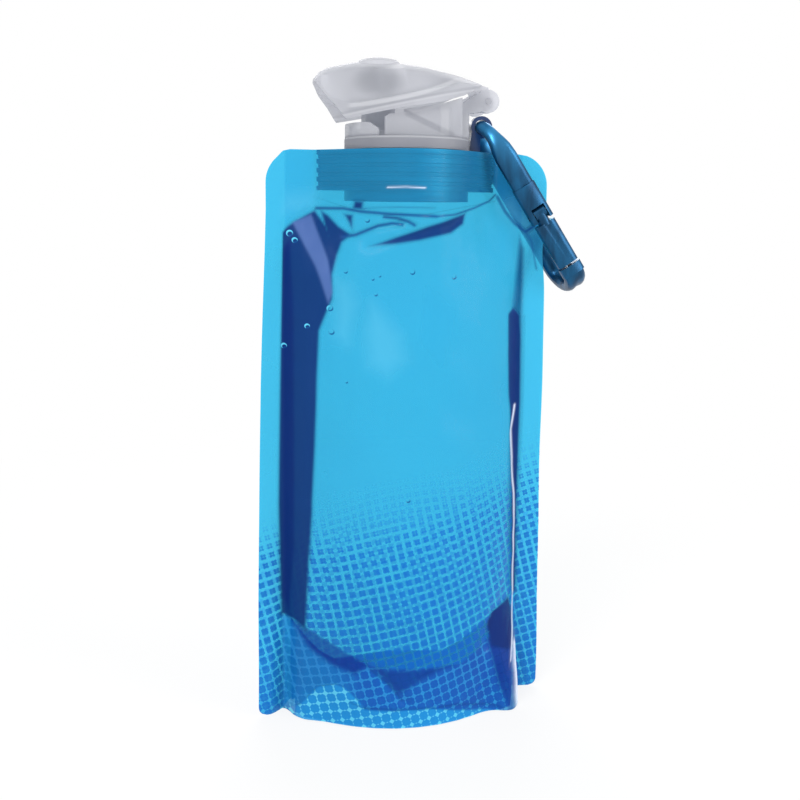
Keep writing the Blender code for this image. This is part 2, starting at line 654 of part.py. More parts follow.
def make_lid(finish):
    places = sorted({place for line in (LID_TOP, LID_RIM, LID_HALF) for place, value in line})
    lid = solid("flip_lid", loft([lid_section(x) for x in places]), finish, HINGE)
    heel_top = POUCH_HEIGHT + through(LID_TOP, LID_HEEL)
    heel_in = TONGUE_ROOT / 2
    tongue = plate([(LID_HEEL - heel_in, heel_top - 2 * MM), (HINGE.x - heel_in, HINGE.z - MM),
                    (HINGE.x + BARREL_RADIUS - MM, HINGE.z + MM), (HINGE.x + MM, heel_top - 4 * LID_LEAST),
                    (LID_HEEL - MM, heel_top - LID_LEAST / 3),
                    (LID_HEEL - TONGUE_ROOT, heel_top - LID_LEAST / 3)], -BARREL_HALF, BARREL_HALF)
    barrel = bar(HINGE - ACROSS * BARREL_HALF, HINGE + ACROSS * BARREL_HALF, BARREL_RADIUS, ROUND_STEPS)
    lid_top = POUCH_HEIGHT + through(LID_TOP, SPOUT_OFFSET)
    pad = turned([(0, lid_top - LID_PAD_ROOT), (LID_PAD_RADIUS, lid_top - LID_PAD_ROOT),
                  (LID_PAD_RADIUS, lid_top - LID_PAD_RISE / 3),
                  (LID_PAD_RADIUS - LID_PAD_RISE, lid_top + LID_PAD_RISE / 2),
                  (LID_PAD_RADIUS / 2, lid_top + LID_PAD_RISE), (0, lid_top + LID_PAD_RISE)],
                 ROUND_STEPS, (SPOUT_OFFSET, 0))
    combine(lid, "UNION",
            solid("lid_tongue", tongue, None, cutter=True),
            solid("lid_barrel", barrel, None, cutter=True),
            solid("lid_pad", pad, None, cutter=True))
    reach = BARREL_HALF + MM
    combine(lid, "DIFFERENCE",
            solid("barrel_bore", bar(HINGE - ACROSS * reach, HINGE + ACROSS * reach,
                                     PIN_RADIUS + RUN / 2, FINE_STEPS), None, cutter=True))
    return lid


def make_stopper(finish):
    """The stopper under the lid, with a tapered nose in the spout's mouth."""
    seat = POUCH_HEIGHT + through(LID_TOP, SPOUT_OFFSET) - LID_WALL - MM
    low = SPOUT_TOP + TOUCH
    nose = SPOUT_BORE - RUN
    profile = [(0, SPOUT_TOP - STOPPER_NOSE), (nose - MM, SPOUT_TOP - STOPPER_NOSE), (nose, low),
               (STOPPER_RADIUS, low), (STOPPER_RADIUS, low + STOPPER_HEIGHT),
               (SPOUT_BORE, low + STOPPER_HEIGHT), (SPOUT_BORE, seat), (0, seat)]
    return solid("lid_plug", turned(profile, ROUND_STEPS, (SPOUT_OFFSET, 0)), finish, HINGE)


# Clip: its loop lies in the plane of the Y axis and CLIP_DOWN, with the eyelet at its top


def clip_place(down, across, side=0.0):
    return EYE + CLIP_DOWN * down + ACROSS * across + CLIP_SIDE * side


def clip_route():
    """Points along the loop's middle, from the gate's hinge end over the top and round to the nose."""
    far = CLIP_LENGTH - CLIP_BEND
    upper = [CLIP_HALF + STRAIGHT_STEP, CLIP_HALF + 3 * STRAIGHT_STEP]
    route = [(GATE_START - RAIL_HIDDEN, -CLIP_HALF), (upper[1], -CLIP_HALF), (upper[0], -CLIP_HALF)]
    for angle in range(0, 181, 15):
        turn = math.radians(angle)
        route.append((CLIP_HALF * (1 - math.sin(turn)), -CLIP_HALF * math.cos(turn)))
    route += [(upper[0], CLIP_HALF), (upper[1], CLIP_HALF), (far - 3 * STRAIGHT_STEP, CLIP_HALF)]
    for angle in range(0, 181, 15):
        turn = math.radians(angle)
        route.append((far + CLIP_BEND * math.sin(turn), CLIP_HALF * math.cos(turn)))
    return route


def clip_section(broad, slim, groove):
    """Half sizes across the loop's plane and in it, with a groove down the outer face."""
    points = []
    for step in range(16):
        turn = math.tau * step / 16
        out = math.cos(turn)
        side = math.sin(turn)
        dip = groove if abs(side) < 0.01 and out > 0 else 0.0
        points.append((slim * math.copysign(abs(out) ** SLIM_POWER, out) - dip,
                       broad * math.copysign(abs(side) ** BROAD_POWER, side)))
    return points


def near_rail_ring(down, extra, groove):
    """The near rail's outline at one place, larger all round by the extra."""
    return [clip_place(down, -CLIP_HALF - out, side)
            for out, side in clip_section(RAIL_BROAD + extra, RAIL_SLIM + extra, groove)]


def make_clip(finish):
    route = clip_route()
    rings = []
    for index, (down, across) in enumerate(route):
        before, after = route[max(index - 1, 0)], route[min(index + 1, len(route) - 1)]
        along = Vector((after[0] - before[0], after[1] - before[1])).normalized()
        outward = Vector((-along.y, along.x))
        if outward.dot(Vector((down - CLIP_LENGTH / 2, across))) < 0:
            outward = -outward
        share = ease((down - RAIL_START) / RAIL_GROWTH)
        broad = BAR_RADIUS + (RAIL_BROAD - BAR_RADIUS) * share
        slim = BAR_RADIUS + (RAIL_SLIM - BAR_RADIUS) * share
        rings.append([clip_place(down + outward.x * out, across + outward.y * out, side)
                      for out, side in clip_section(broad, slim, RAIL_GROOVE * share)])
    clip = solid("carabiner_body", loft(rings), finish, EYE)

    fork_top, fork_bottom = GATE_START - FORK_REACH, GATE_START + FORK_CHEEK
    fork = loft([near_rail_ring(down, FORK_WALL, 0) for down in (fork_top, fork_bottom)])
    nose = loft([near_rail_ring(down, FORK_WALL, 0)
                 for down in (GATE_END + TOUCH + RUN, CLIP_LENGTH - CLIP_BEND + NOSE_OVERLAP)])
    combine(clip, "UNION", solid("clip_fork", fork, None, cutter=True),
            solid("clip_nose", nose, None, cutter=True))
    slot_half = GATE_RADIUS + RUN
    reach = 2 * RAIL_SLIM
    slot = loft([[clip_place(down, -CLIP_HALF + out * reach, side * slot_half)
                  for out, side in ((-1, -1), (1, -1), (1, 1), (-1, 1))]
                 for down in (GATE_START - GATE_RADIUS - RUN, GATE_START + 2 * FORK_CHEEK)])
    rivet_reach = RAIL_BROAD + MM
    rivet_hole = bar(clip_place(GATE_START, -CLIP_HALF, -rivet_reach),
                     clip_place(GATE_START, -CLIP_HALF, rivet_reach), RIVET_RADIUS + TOUCH / 2, PIN_STEPS)
    latch_slot = loft([[clip_place(down, -CLIP_HALF + across, side * (LATCH_RADIUS + RUN))
                        for across, side in ((-LATCH_SLOT, -1), (reach, -1), (reach, 1), (-LATCH_SLOT, 1))]
                       for down in (GATE_END, GATE_END + LATCH_REACH + 2 * RUN)])
    combine(clip, "DIFFERENCE",
            solid("gate_slot", slot, None, cutter=True),
            solid("rivet_hole", rivet_hole, None, cutter=True),
            solid("latch_slot", latch_slot, None, cutter=True))
    return clip


def make_gate(finish):
    pivot = clip_place(GATE_START, -CLIP_HALF)
    neck_end = clip_place(GATE_START + GATE_NECK + MM, -CLIP_HALF)
    gate = solid("carabiner_gate", bar(pivot, neck_end, GATE_RADIUS), finish, pivot)
    shaft = loft([near_rail_ring(down, 0, RAIL_GROOVE) for down in (GATE_START + GATE_NECK, GATE_END)])
    knuckle = bar(clip_place(GATE_START, -CLIP_HALF, -GATE_RADIUS),
                  clip_place(GATE_START, -CLIP_HALF, GATE_RADIUS), GATE_RADIUS)
    combine(gate, "UNION",
            solid("gate_knuckle", knuckle, None, cutter=True),
            solid("gate_shaft", shaft, None, cutter=True))
    foot = spring_foot() - RUN
    bore = bar(clip_place(foot, -CLIP_HALF), clip_place(GATE_END - BORE_END, -CLIP_HALF),
               GATE_BORE, FINE_STEPS)
    slot = bar(clip_place(foot, -CLIP_HALF), clip_place(foot, -CLIP_HALF + 2 * GATE_RADIUS),
               RIVET_RADIUS, PIN_STEPS)
    hole = bar(clip_place(GATE_START, -CLIP_HALF, -2 * GATE_RADIUS),
               clip_place(GATE_START, -CLIP_HALF, 2 * GATE_RADIUS), RIVET_RADIUS + RUN / 2, FINE_STEPS)
    pin_hole = bar(clip_place(GATE_END - LATCH_ROOT - RUN, -CLIP_HALF), clip_place(GATE_END + MM, -CLIP_HALF),
                   LATCH_RADIUS + TOUCH / 2, PIN_STEPS)
    combine(gate, "DIFFERENCE",
            solid("gate_bore", bore, None, cutter=True),
            solid("bore_vent", slot, None, cutter=True),
            solid("gate_rivet_hole", hole, None, cutter=True),
            solid("latch_pin_hole", pin_hole, None, cutter=True))
    return gate


def spring_foot():
    """Where the plunger's foot stands in the gate, clear of the rivet."""
    return GATE_START + RIVET_RADIUS + PLUNGER_GAP


def make_small_parts(steel, brass):
    pivot = clip_place(GATE_START, -CLIP_HALF)
    reach = RAIL_BROAD - FORK_WALL / 2
    rivet = bar(clip_place(GATE_START, -CLIP_HALF, -reach), clip_place(GATE_START, -CLIP_HALF, reach),
                RIVET_RADIUS, PIN_STEPS)
    solid("gate_rivet", rivet, steel, pivot)
    latch = bar(clip_place(GATE_END - LATCH_ROOT, -CLIP_HALF), clip_place(GATE_END + LATCH_REACH, -CLIP_HALF),
                LATCH_RADIUS, PIN_STEPS)
    solid("latch_pin", latch, steel, pivot)
    foot = spring_foot()
    plunger = bar(clip_place(foot, -CLIP_HALF), clip_place(foot + PLUNGER_LENGTH, -CLIP_HALF),
                  PLUNGER_RADIUS, FINE_STEPS)
    solid("gate_plunger", plunger, brass, clip_place(foot, -CLIP_HALF))
    make_spring(foot + PLUNGER_LENGTH + TOUCH + SPRING_WIRE, steel)


def make_spring(foot, finish):
    """A coil along the gate's bore, one unbroken wire."""
    points = []
    for step in range(SPRING_CURLS * COIL_STEPS + 1):
        turn = math.tau * step / COIL_STEPS
        points.append(clip_place(foot + SPRING_PITCH * step / COIL_STEPS,
                                 -CLIP_HALF + SPRING_RADIUS * math.cos(turn), SPRING_RADIUS * math.sin(turn)))
    others = COIL_STEPS // 2 + 1
    gap = min((one - two).length for at, one in enumerate(points) for two in points[at + others:])
    gap -= 2 * SPRING_WIRE
    print(f"least gap in gate_spring: {gap / MM:.2f} mm")
    curve = bpy.data.curves.new("gate_spring", "CURVE")
    curve.dimensions = "3D"
    curve.bevel_depth = SPRING_WIRE
    curve.bevel_resolution = 1
    curve.use_fill_caps = True
    spline = curve.splines.new("POLY")
    spline.points.add(len(points) - 1)
    for slot, point in zip(spline.points, points):
        slot.co = (*point, 1)
    curve.materials.append(finish)
    spring = bpy.data.objects.new("gate_spring", curve)
    bpy.context.scene.collection.objects.link(spring)
    return spring


def main():
    clear_scene()
    film = material("clear blue film", (0.05, 0.5, 0.85), 0.2)
    blue_plastic = material("blue plastic", (0.01, 0.2, 0.4), 0.35)
    frosted = material("frosted plastic", (0.66, 0.67, 0.72), 0.4)
    rubber = material("white silicone", (0.75, 0.75, 0.76), 0.55)
    anodised = material("blue anodised aluminium", (0.02, 0.22, 0.5), 0.3, 0.9)
    steel = material("steel", (0.6, 0.6, 0.6), 0.3, 1.0)
    make_film("front_film", -1, film)
    make_film("back_film", 1, film)
    make_gusset(film)
    make_neck(blue_plastic)
    make_liner(rubber)
    make_cap(frosted)
    make_spout(frosted)
    make_pin(frosted)
    make_lid(frosted)
    make_stopper(rubber)
    make_clip(anodised)
    make_gate(anodised)
    make_small_parts(steel, material("brass", (0.6, 0.42, 0.12), 0.35, 1.0))


main()
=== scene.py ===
import math
import bmesh
import bpy
import numpy as np
from mathutils import Matrix, Vector
from mathutils.bvhtree import BVHTree


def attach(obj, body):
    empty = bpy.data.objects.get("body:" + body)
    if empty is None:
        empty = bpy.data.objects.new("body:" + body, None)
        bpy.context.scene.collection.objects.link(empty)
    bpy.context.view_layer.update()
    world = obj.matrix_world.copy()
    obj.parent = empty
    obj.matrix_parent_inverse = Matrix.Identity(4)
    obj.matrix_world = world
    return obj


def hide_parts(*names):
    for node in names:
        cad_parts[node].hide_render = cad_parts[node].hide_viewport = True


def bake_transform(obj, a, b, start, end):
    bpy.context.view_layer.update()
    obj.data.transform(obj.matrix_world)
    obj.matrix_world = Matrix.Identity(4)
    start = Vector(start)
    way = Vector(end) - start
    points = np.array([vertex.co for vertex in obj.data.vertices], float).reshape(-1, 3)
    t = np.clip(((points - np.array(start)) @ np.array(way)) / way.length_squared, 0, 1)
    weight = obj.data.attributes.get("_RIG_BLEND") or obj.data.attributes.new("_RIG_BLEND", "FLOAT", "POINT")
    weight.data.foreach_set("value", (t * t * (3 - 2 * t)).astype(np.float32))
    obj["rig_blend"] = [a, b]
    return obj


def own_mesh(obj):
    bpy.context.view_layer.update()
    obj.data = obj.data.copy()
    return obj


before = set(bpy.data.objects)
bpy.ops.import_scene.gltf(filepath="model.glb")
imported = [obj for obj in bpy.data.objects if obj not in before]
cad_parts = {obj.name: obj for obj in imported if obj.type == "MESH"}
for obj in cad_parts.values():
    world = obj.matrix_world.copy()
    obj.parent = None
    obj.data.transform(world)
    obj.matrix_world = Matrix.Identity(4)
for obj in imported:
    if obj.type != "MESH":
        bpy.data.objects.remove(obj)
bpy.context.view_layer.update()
scene = bpy.context.scene
scene.view_settings.view_transform = "Standard"
mm = 0.001
inMm = 1000  # millimetres in a metre
print("frame loaded:", len(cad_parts), "nodes")


class Wire:  # one socket of a shader tree, with plain maths on it
    def __init__(self, tree, socket):
        self.tree = tree
        self.socket = socket

    def node(self, kind, settings=None, sockets=None, output=0):
        made = self.tree.nodes.new(kind)
        for name, value in (settings or {}).items():
            setattr(made, name, value)
        for name, value in (sockets or {}).items():
            if isinstance(value, Wire):
                self.tree.links.new(value.socket, made.inputs[name])
            else:
                made.inputs[name].default_value = value
        return Wire(self.tree, made.outputs[output])

    def maths(self, operation, *values):
        return self.node("ShaderNodeMath", {"operation": operation}, dict(enumerate(values)))

    def __add__(self, other):
        return self.maths("ADD", self, other)

    __radd__ = __add__

    def __sub__(self, other):
        return self.maths("SUBTRACT", self, other)

    def __rsub__(self, other):
        return self.maths("SUBTRACT", other, self)

    def __mul__(self, other):
        return self.maths("MULTIPLY", self, other)

    __rmul__ = __mul__

    def __truediv__(self, other):
        return self.maths("DIVIDE", self, other)

    def __abs__(self):
        return self.maths("ABSOLUTE", self)

    def highest(self, other):
        return self.maths("MAXIMUM", self, other)

    def wave(self, turns):  # cosine of this many turns per unit
        return self.maths("COSINE", self * (2 * math.pi * turns))

    def between(self, low, high):  # 0 at low, 1 at high, eased
        return self.node("ShaderNodeMapRange", {"interpolation_type": "SMOOTHSTEP"},
                         {"Value": self, "From Min": low, "From Max": high})

    def paint(self, under, over):  # over where this value is 1, under where it is 0
        return self.node("ShaderNodeMix", {"data_type": "RGBA"}, {"Factor": self, 6: under, 7: over}, 2)

    def axis(self, letter):
        return self.node("ShaderNodeSeparateXYZ", None, {0: self}, "XYZ".index(letter))

    def noise(self, scale, detail=2.0, stretch=(1, 1, 1)):
        placed = self.node("ShaderNodeMapping", None, {"Vector": self, "Scale": stretch})
        return self.node("ShaderNodeTexNoise", None, {"Vector": placed, "Scale": scale, "Detail": detail})


def newMaterial(name):
    made = bpy.data.materials.new(name)
    made.use_nodes = True
    made.node_tree.nodes.clear()
    start = Wire(made.node_tree, None)
    place = start.node("ShaderNodeTexCoord", None, None, 3)
    return made, start, place


def finishMaterial(start, surface):
    end = start.tree.nodes.new("ShaderNodeOutputMaterial")
    start.tree.links.new(surface.socket, end.inputs["Surface"])


def linear(red, green, blue):  # from 0-255 screen values, by the sRGB curve
    shares = [shade / 255 for shade in (red, green, blue)]
    return tuple(share / 12.92 if share < 11 / 255 else ((share + 0.055) / 1.055) ** 2.4 for share in shares) + (1,)


def plainMaterial(name, look):
    made, start, place = newMaterial(name)
    grain = place.noise(look["grainScale"], 3.0, look.get("stretch", (1, 1, 1)))
    shade = grain.between(0.3, 0.7).paint(look["dark"], look["light"])
    if "upper" in look:  # painted highlight: lighter towards the eyelet
        shade = (place.axis("Z").between(*look["upperSpan"]) * look["upperShare"]).paint(shade, look["upper"])
    surface = start.node("ShaderNodeBsdfPrincipled", None, {
        "Base Color": shade, "Metallic": look.get("metallic", 0.0), "Roughness": look["roughness"], "IOR": 1.5})
    finishMaterial(start, surface)
    return made


def edgeDistance(places, outline, closed):
    far = np.full(len(places), 1e9)
    points = np.array(outline, float)
    ends = np.roll(points, -1, axis=0) if closed else points[1:]
    for first, last in zip(points, ends):
        along = last - first
        share = np.clip((places - first) @ along / max(along @ along, 1e-12), 0, 1)
        gap = places - first - share[:, None] * along
        far = np.minimum(far, np.hypot(gap[:, 0], gap[:, 1]))
    return far


def inOutline(places, outline, soft):  # 1 inside, 0 outside, eased over soft
    points = np.array(outline, float)
    inside = np.zeros(len(places), bool)
    for first, last in zip(points, np.roll(points, -1, axis=0)):
        crosses = (first[1] > places[:, 1]) != (last[1] > places[:, 1])
        slope = (last[0] - first[0]) / (last[1] - first[1] if last[1] != first[1] else 1e-9)
        inside ^= crosses & (places[:, 0] < first[0] + slope * (places[:, 1] - first[1]))
    away = edgeDistance(places, outline, True)
    share = np.clip(0.5 + np.where(inside, away, -away) / soft, 0, 1)
    return share * share * (3 - 2 * share)


def onPath(places, path, width):
    return np.exp(-(edgeDistance(places, path, False) / width) ** 2)


film = {"columns": 210, "rows": 400, "height": 0.212, "half": 0.0556, "topCorner": 0.012, "bottomCorner": 0.003,
        "inwards": 0.00045, "thinnest": 0.0003}  # metres, apart from the counts
probe = {"lattice": (150, 286), "sideInset": 0.00005, "endInset": 0.0002, "rayStart": 0.1, "blur": 1.1, "reach": 4}


def readDepths(node, side):
    tree = BVHTree.FromObject(node, bpy.context.evaluated_depsgraph_get())
    across = np.linspace(-film["half"] + probe["sideInset"], film["half"] - probe["sideInset"], probe["lattice"][0])
    upward = np.linspace(probe["endInset"], film["height"] - probe["endInset"], probe["lattice"][1])
    depths = np.zeros((len(upward), len(across)))
    for row, z in enumerate(upward):
        for column, x in enumerate(across):
            hit = tree.ray_cast(Vector((x, side * probe["rayStart"], z)), Vector((0, -side, 0)))[0]
            if hit is None:
                hit = tree.find_nearest(Vector((x, side * mm, z)))[0]
            depths[row, column] = abs(hit.y)
    reach = probe["reach"]
    kernel = np.exp(-0.5 * (np.arange(-reach, reach + 1) / probe["blur"]) ** 2)
    kernel /= kernel.sum()
    for way in (0, 1):
        padded = np.pad(depths, [(reach, reach) if way == each else (0, 0) for each in (0, 1)], mode="edge")
        depths = np.apply_along_axis(np.convolve, way, padded, kernel, "valid")
    return across, upward, depths


def sample(across, upward, depths, x, z):
    column = np.clip((x - across[0]) / (across[1] - across[0]), 0, len(across) - 1.001)
    row = np.clip((z - upward[0]) / (upward[1] - upward[0]), 0, len(upward) - 1.001)
    left, low = column.astype(int), row.astype(int)
    over, up = column - left, row - low
    top = depths[low + 1, left] * (1 - over) + depths[low + 1, left + 1] * over
    bottom = depths[low, left] * (1 - over) + depths[low, left + 1] * over
    return bottom * (1 - up) + top * up


frontDents = [  # path in millimetres, depth, width
    ([(50, 181), (44, 166), (39.5, 152), (40, 120)], 1.6, 4.5),
    ([(43.4, 115.5), (41.6, 104), (42.4, 90), (44.3, 70), (44.6, 50), (43, 28), (40.4, 16)], 2.0, 1.7),
    ([(-28, 174), (-29.8, 160), (-34, 146), (-35, 118), (-36.4, 84)], 1.4, 3.0),
    ([(-48, 184), (-35, 190), (-26, 190)], 1.0, 1.6),
    ([(-25.3, 180.4), (-16.8, 183.5), (-7.2, 185.2)], 0.9, 1.3),
    ([(-12.7, 187.6), (-7.9, 186.2), (-2.3, 185.2)], 0.7, 1.1),
    ([(-17.9, 177.3), (-3, 181.5), (12, 185), (20, 190)], 1.0, 2.0),
    ([(35.2, 196.6), (38, 190), (43, 184), (50.6, 180.5)], 1.1, 1.5),
    ([(-12, 150), (-10, 138)], 1.0, 9.0),
    ([(-45, 36), (-26, 28), (-15, 21), (-4, 9)], 0.9, 2.0),
    ([(28, 26), (33, 38), (40, 44)], 1.0, 3.0),
    ([(-40, 5), (-37, 22)], 0.6, 3.0),
]
backDents = [
    ([(-50, 178), (-43, 166), (-39.5, 150), (-40, 60), (-42, 24)], 1.6, 3.0),
    ([(34, 190), (36, 160), (41, 120), (43, 40)], 1.4, 3.0),
    ([(-30, 178), (-6, 184), (18, 182)], 1.0, 2.0),
    ([(10, 160), (-6, 140), (-14, 118)], 1.0, 7.0),
    ([(-38, 36), (-20, 24), (2, 18), (30, 26)], 0.9, 2.2),
]
frontPaint = {
    # painted shade: dark bands where the water-filled pouch curves steeply at its sides, and along the creases by the
    # collar
    "navyShade": (2.0, [
        [(-47.9, 181.9), (-42.9, 185.7), (-34.5, 190.3), (-30.8, 184), (-28, 173.8), (-29.9, 167), (-29.8, 158),
         (-34.1, 146.4), (-34.8, 129.4), (-35.5, 104), (-36.4, 83.5), (-37.9, 59.8), (-39, 33), (-42.7, 35.7),
         (-47.4, 37), (-48.6, 79.4), (-48.2, 136)],
        [(38.6, 151.5), (41.6, 154.1), (45.4, 150.4), (46.4, 142.4), (46.9, 116.3), (46.5, 102.8), (46, 75.1),
         (46.4, 39.4), (43.4, 40), (42.2, 85), (40.1, 116.4), (38.7, 135.9)],
        [(28.8, 34), (31.5, 38.2), (40.5, 41), (43.8, 33), (42.6, 21), (31.1, 25)],
        [(-25.6, 188.9), (-22.4, 188.6), (-22.9, 182.4)],
        [(-32.9, 190.4), (-30.1, 188.3), (-27.1, 184.4), (-23, 181.3), (-26.4, 178.4), (-27.6, 174.9),
         (-29.4, 170), (-31.5, 180.4)],
        [(-22.3, 193.7), (-19.1, 193.4), (-19.4, 190.1), (-22.9, 190.4)],
        [(-17.9, 177.3), (-8.9, 180.8), (3, 184.9), (19.3, 189.8), (17.7, 185.3), (12.2, 182), (0.1, 179.4),
         (-8.9, 178)],
    ]),
    "fold": (1.2, [
        [(-47.4, 36.8), (-42.7, 36.5), (-37.5, 34), (-29.5, 30), (-17.2, 23.2), (-3.1, 22.7), (17, 21.5),
         (22.8, 24.6), (29.1, 28), (43, 36), (46.5, 38), (46.5, 6), (44.6, -2.7), (4.8, 6.7), (-18.9, 7),
         (-21.7, 10.4), (-25.9, 14.3), (-29.2, 15.2), (-35.2, 13.1), (-41.1, 5.9), (-46.3, 0.6), (-47, 20)],
    ]),
    # painted shade: dark patches along the creases at the foot
    "deep": (3.0, [
        [(-16, 22.4), (16.1, 21.9), (10, 21), (1.4, 17.6), (-7.2, 12.9), (-11.5, 17.5)],
        [(29, 28), (43.8, 34), (44.6, 1), (38, 0), (34, 10)],
        [(-45, 37), (-37.5, 34), (-29.5, 30), (-17.2, 23.4), (-22.5, 19.8), (-30, 22), (-38, 27)],
    ]),
    # painted light: pale patches of light on the film
    "paleLight": (10.0, [
        [(-48.1, 189.4), (-45.2, 195.5), (-34.9, 196.4), (-34.9, 191.1), (-41.3, 189.5)],
        [(-29.8, 165.7), (-24.7, 163.7), (-22.2, 156.4), (-25.2, 142.4), (-28.6, 145.2)],
        [(-16.9, 157.3), (-6.8, 145.7), (-4.6, 136.6), (-11.1, 130.8), (-17.8, 134.7), (-19, 147.4)],
        [(36, 193), (42, 195), (49, 184), (44, 185)],
    ]),
    "violet": (1.4, [[(-42.9, 185.6), (-36, 188.4), (-31.5, 172), (-29.8, 160.6), (-31.4, 156.5), (-35.8, 169.9)]]),
}
frontLines = [  # dark lines: the waterline and the gusset's edges, with painted shade along the creases by the collar and the clip; path, half width, strength
    ([(-34.1, 190.7), (-25.6, 190.7), (-20.4, 189.7), (-11.2, 188.9), (-2.3, 188.5), (6, 188.2)], 0.85, 1.0),
    ([(6, 188.2), (14, 188.9), (22.7, 191.3), (31.5, 194.1), (34.9, 196.5)], 0.6, 0.95),
    ([(-23, 189.8), (-17.8, 191), (-7.2, 191.3), (5.3, 191.1)], 0.4, 0.7),
    ([(35.7, 195.7), (38.9, 190.3), (42.9, 185.6), (47.3, 182.5), (51, 184.9)], 1.0, 0.95),
    ([(47.3, 182.5), (49.8, 179), (50.7, 174.7), (52.4, 168.4)], 0.9, 0.8),
    ([(25.8, 198.1), (30.3, 195.6), (33.2, 194.5)], 0.5, 0.45),
    ([(-26, 180.5), (-21.9, 181.3), (-14.5, 184.7), (-9.8, 185.6), (-6.4, 185.2)], 0.9, 1.0),
    ([(-12.5, 187.8), (-8.5, 187.5), (-4.4, 186.3), (-2.2, 185)], 0.9, 1.0),
    ([(51, 178), (47.5, 169), (44, 161), (42, 156)], 3.4, 0.5),
    ([(47.6, 150), (47.6, 110), (46.6, 60), (46.6, 34)], 0.5, 0.4),
    ([(-17.2, 21.9), (-10.1, 16.2), (-5.6, 10.2)], 0.4, 0.7),
    ([(-24, 9), (-19.9, 7.6), (-3.5, 7.1), (16.3, 6.1), (41.5, -0.5)], 0.4, 0.5),
]
frontGlints = [
    ([(43.4, 115.5), (41.6, 106), (42.2, 92), (44.3, 75.1), (44.3, 59), (44.2, 40.3), (42.8, 27.7), (40.2, 17)],
     0.5, 0.85),
    ([(43.6, 22), (42.8, 12), (42.6, 5), (43.2, 0)], 1.7, 0.95),
    ([(-11.7, 198.3), (-5.6, 198.5), (1.3, 198.2)], 0.35, 0.9),
]
backPaint = {
    # painted shade: dark bands down both sides
    "navyShade": (3.0, [
        [(-47.5, 176), (-43, 180), (-41.4, 150), (-41, 60), (-43.5, 34), (-47, 44)],
        [(47.5, 176), (45, 182), (43.6, 150), (43.6, 60), (44.5, 34), (47, 44)],
    ]),
    # painted light: a pale patch
    "paleLight": (5.0, [[(14, 160), (24, 150), (20, 128), (12, 138)]]),
    "violet": (1.4, []), "fold": (1.4, []), "deep": (1.4, []),
}
# dark lines: the waterline, and painted shade along a crease
backLines = [
    ([(-35, 195), (-12, 189), (12, 188.5), (35, 194)], 0.45, 0.6),
    ([(-24, 180), (-6, 184), (14, 182)], 0.5, 0.5),
]


def eased(values):
    share = np.clip(values, 0, 1)
    return share * share * (3 - 2 * share)


flange = {"seal": 45.4, "wave": 0.7, "waveLength": 23, "ripple": 0.3, "rippleLength": 8.5, "flatAbove": (155, 205),
          "flatFade": 30, "waveFrom": 44.5, "leanFrom": 44, "fade": 8, "lean": 7, "leanHeight": 70,
          "shiftHeights": [0, 40, 125, 190], "shifts": [-0.9, -0.5, 1.0, 3.0],
          "clipHeight": 174.6, "clipSpan": 9, "clipFrom": 50, "clipFade": 5, "drawnIn": 1.1}  # millimetres


def flangeBend(places):  # the side seals wave a little, and the left one leans forwards at its foot
    x, z = places[:, 0], places[:, 1]
    waves = (flange["wave"] * np.sin(z / flange["waveLength"] + np.sign(x))
             + flange["ripple"] * np.sin(z / flange["rippleLength"]))
    right, left = flange["flatAbove"]  # the right seal stays flat under the clip
    waves = waves * eased((np.where(x > 0, right, left) - z) / flange["flatFade"])
    lean = flange["lean"] * eased((-flange["leanFrom"] - x) / flange["fade"]) * eased(1 - z / flange["leanHeight"])
    return eased((np.abs(x) - flange["waveFrom"]) / flange["fade"]) * waves + lean


bulge = {"rightDepth": 11, "rightMiddle": 41, "rightWidth": 8, "leftDepth": 4, "leftMiddle": -42, "leftWidth": 6,
         "edge": 46.4, "fade": 3, "height": 46}  # millimetres


def bottomBulge(places):  # the filled bottom pushes out beside the side seals
    x, z = places[:, 0], places[:, 1]
    right = bulge["rightDepth"] * np.exp(-((x - bulge["rightMiddle"]) / bulge["rightWidth"]) ** 2)
    left = bulge["leftDepth"] * np.exp(-((x - bulge["leftMiddle"]) / bulge["leftWidth"]) ** 2)
    right, left = right * eased((bulge["edge"] - x) / bulge["fade"]), left * eased((bulge["edge"] + x) / bulge["fade"])
    return (right + left) * eased(1 - z / bulge["height"])


crease = {"sealFade": 5, "collarFoot": 189, "collarFade": 4, "collarHalf": 37, "footFade": 9, "leastDent": 0.15,
          "sink": 0.35, "rolls": [(0.30, 9.3, 23), (0.24, -31, 6.1), (0.16, 3.9, 5.2)],
          "pleatDepth": 0.3, "pleatLength": 1.9, "pleatHeight": 187, "pleatSpan": 6,
          "puckerDepth": 0.35, "puckerInset": 2.5, "puckerWidth": 2.2, "puckerFade": 20, "puckerLength": 2.3,
          "puckerSway": 1.4, "swayLength": 11}  # millimetres; a roll is its height, length upward and across
flatten = {"start": 0.193, "end": 0.145, "travel": 0.024, "closed": 0.92}


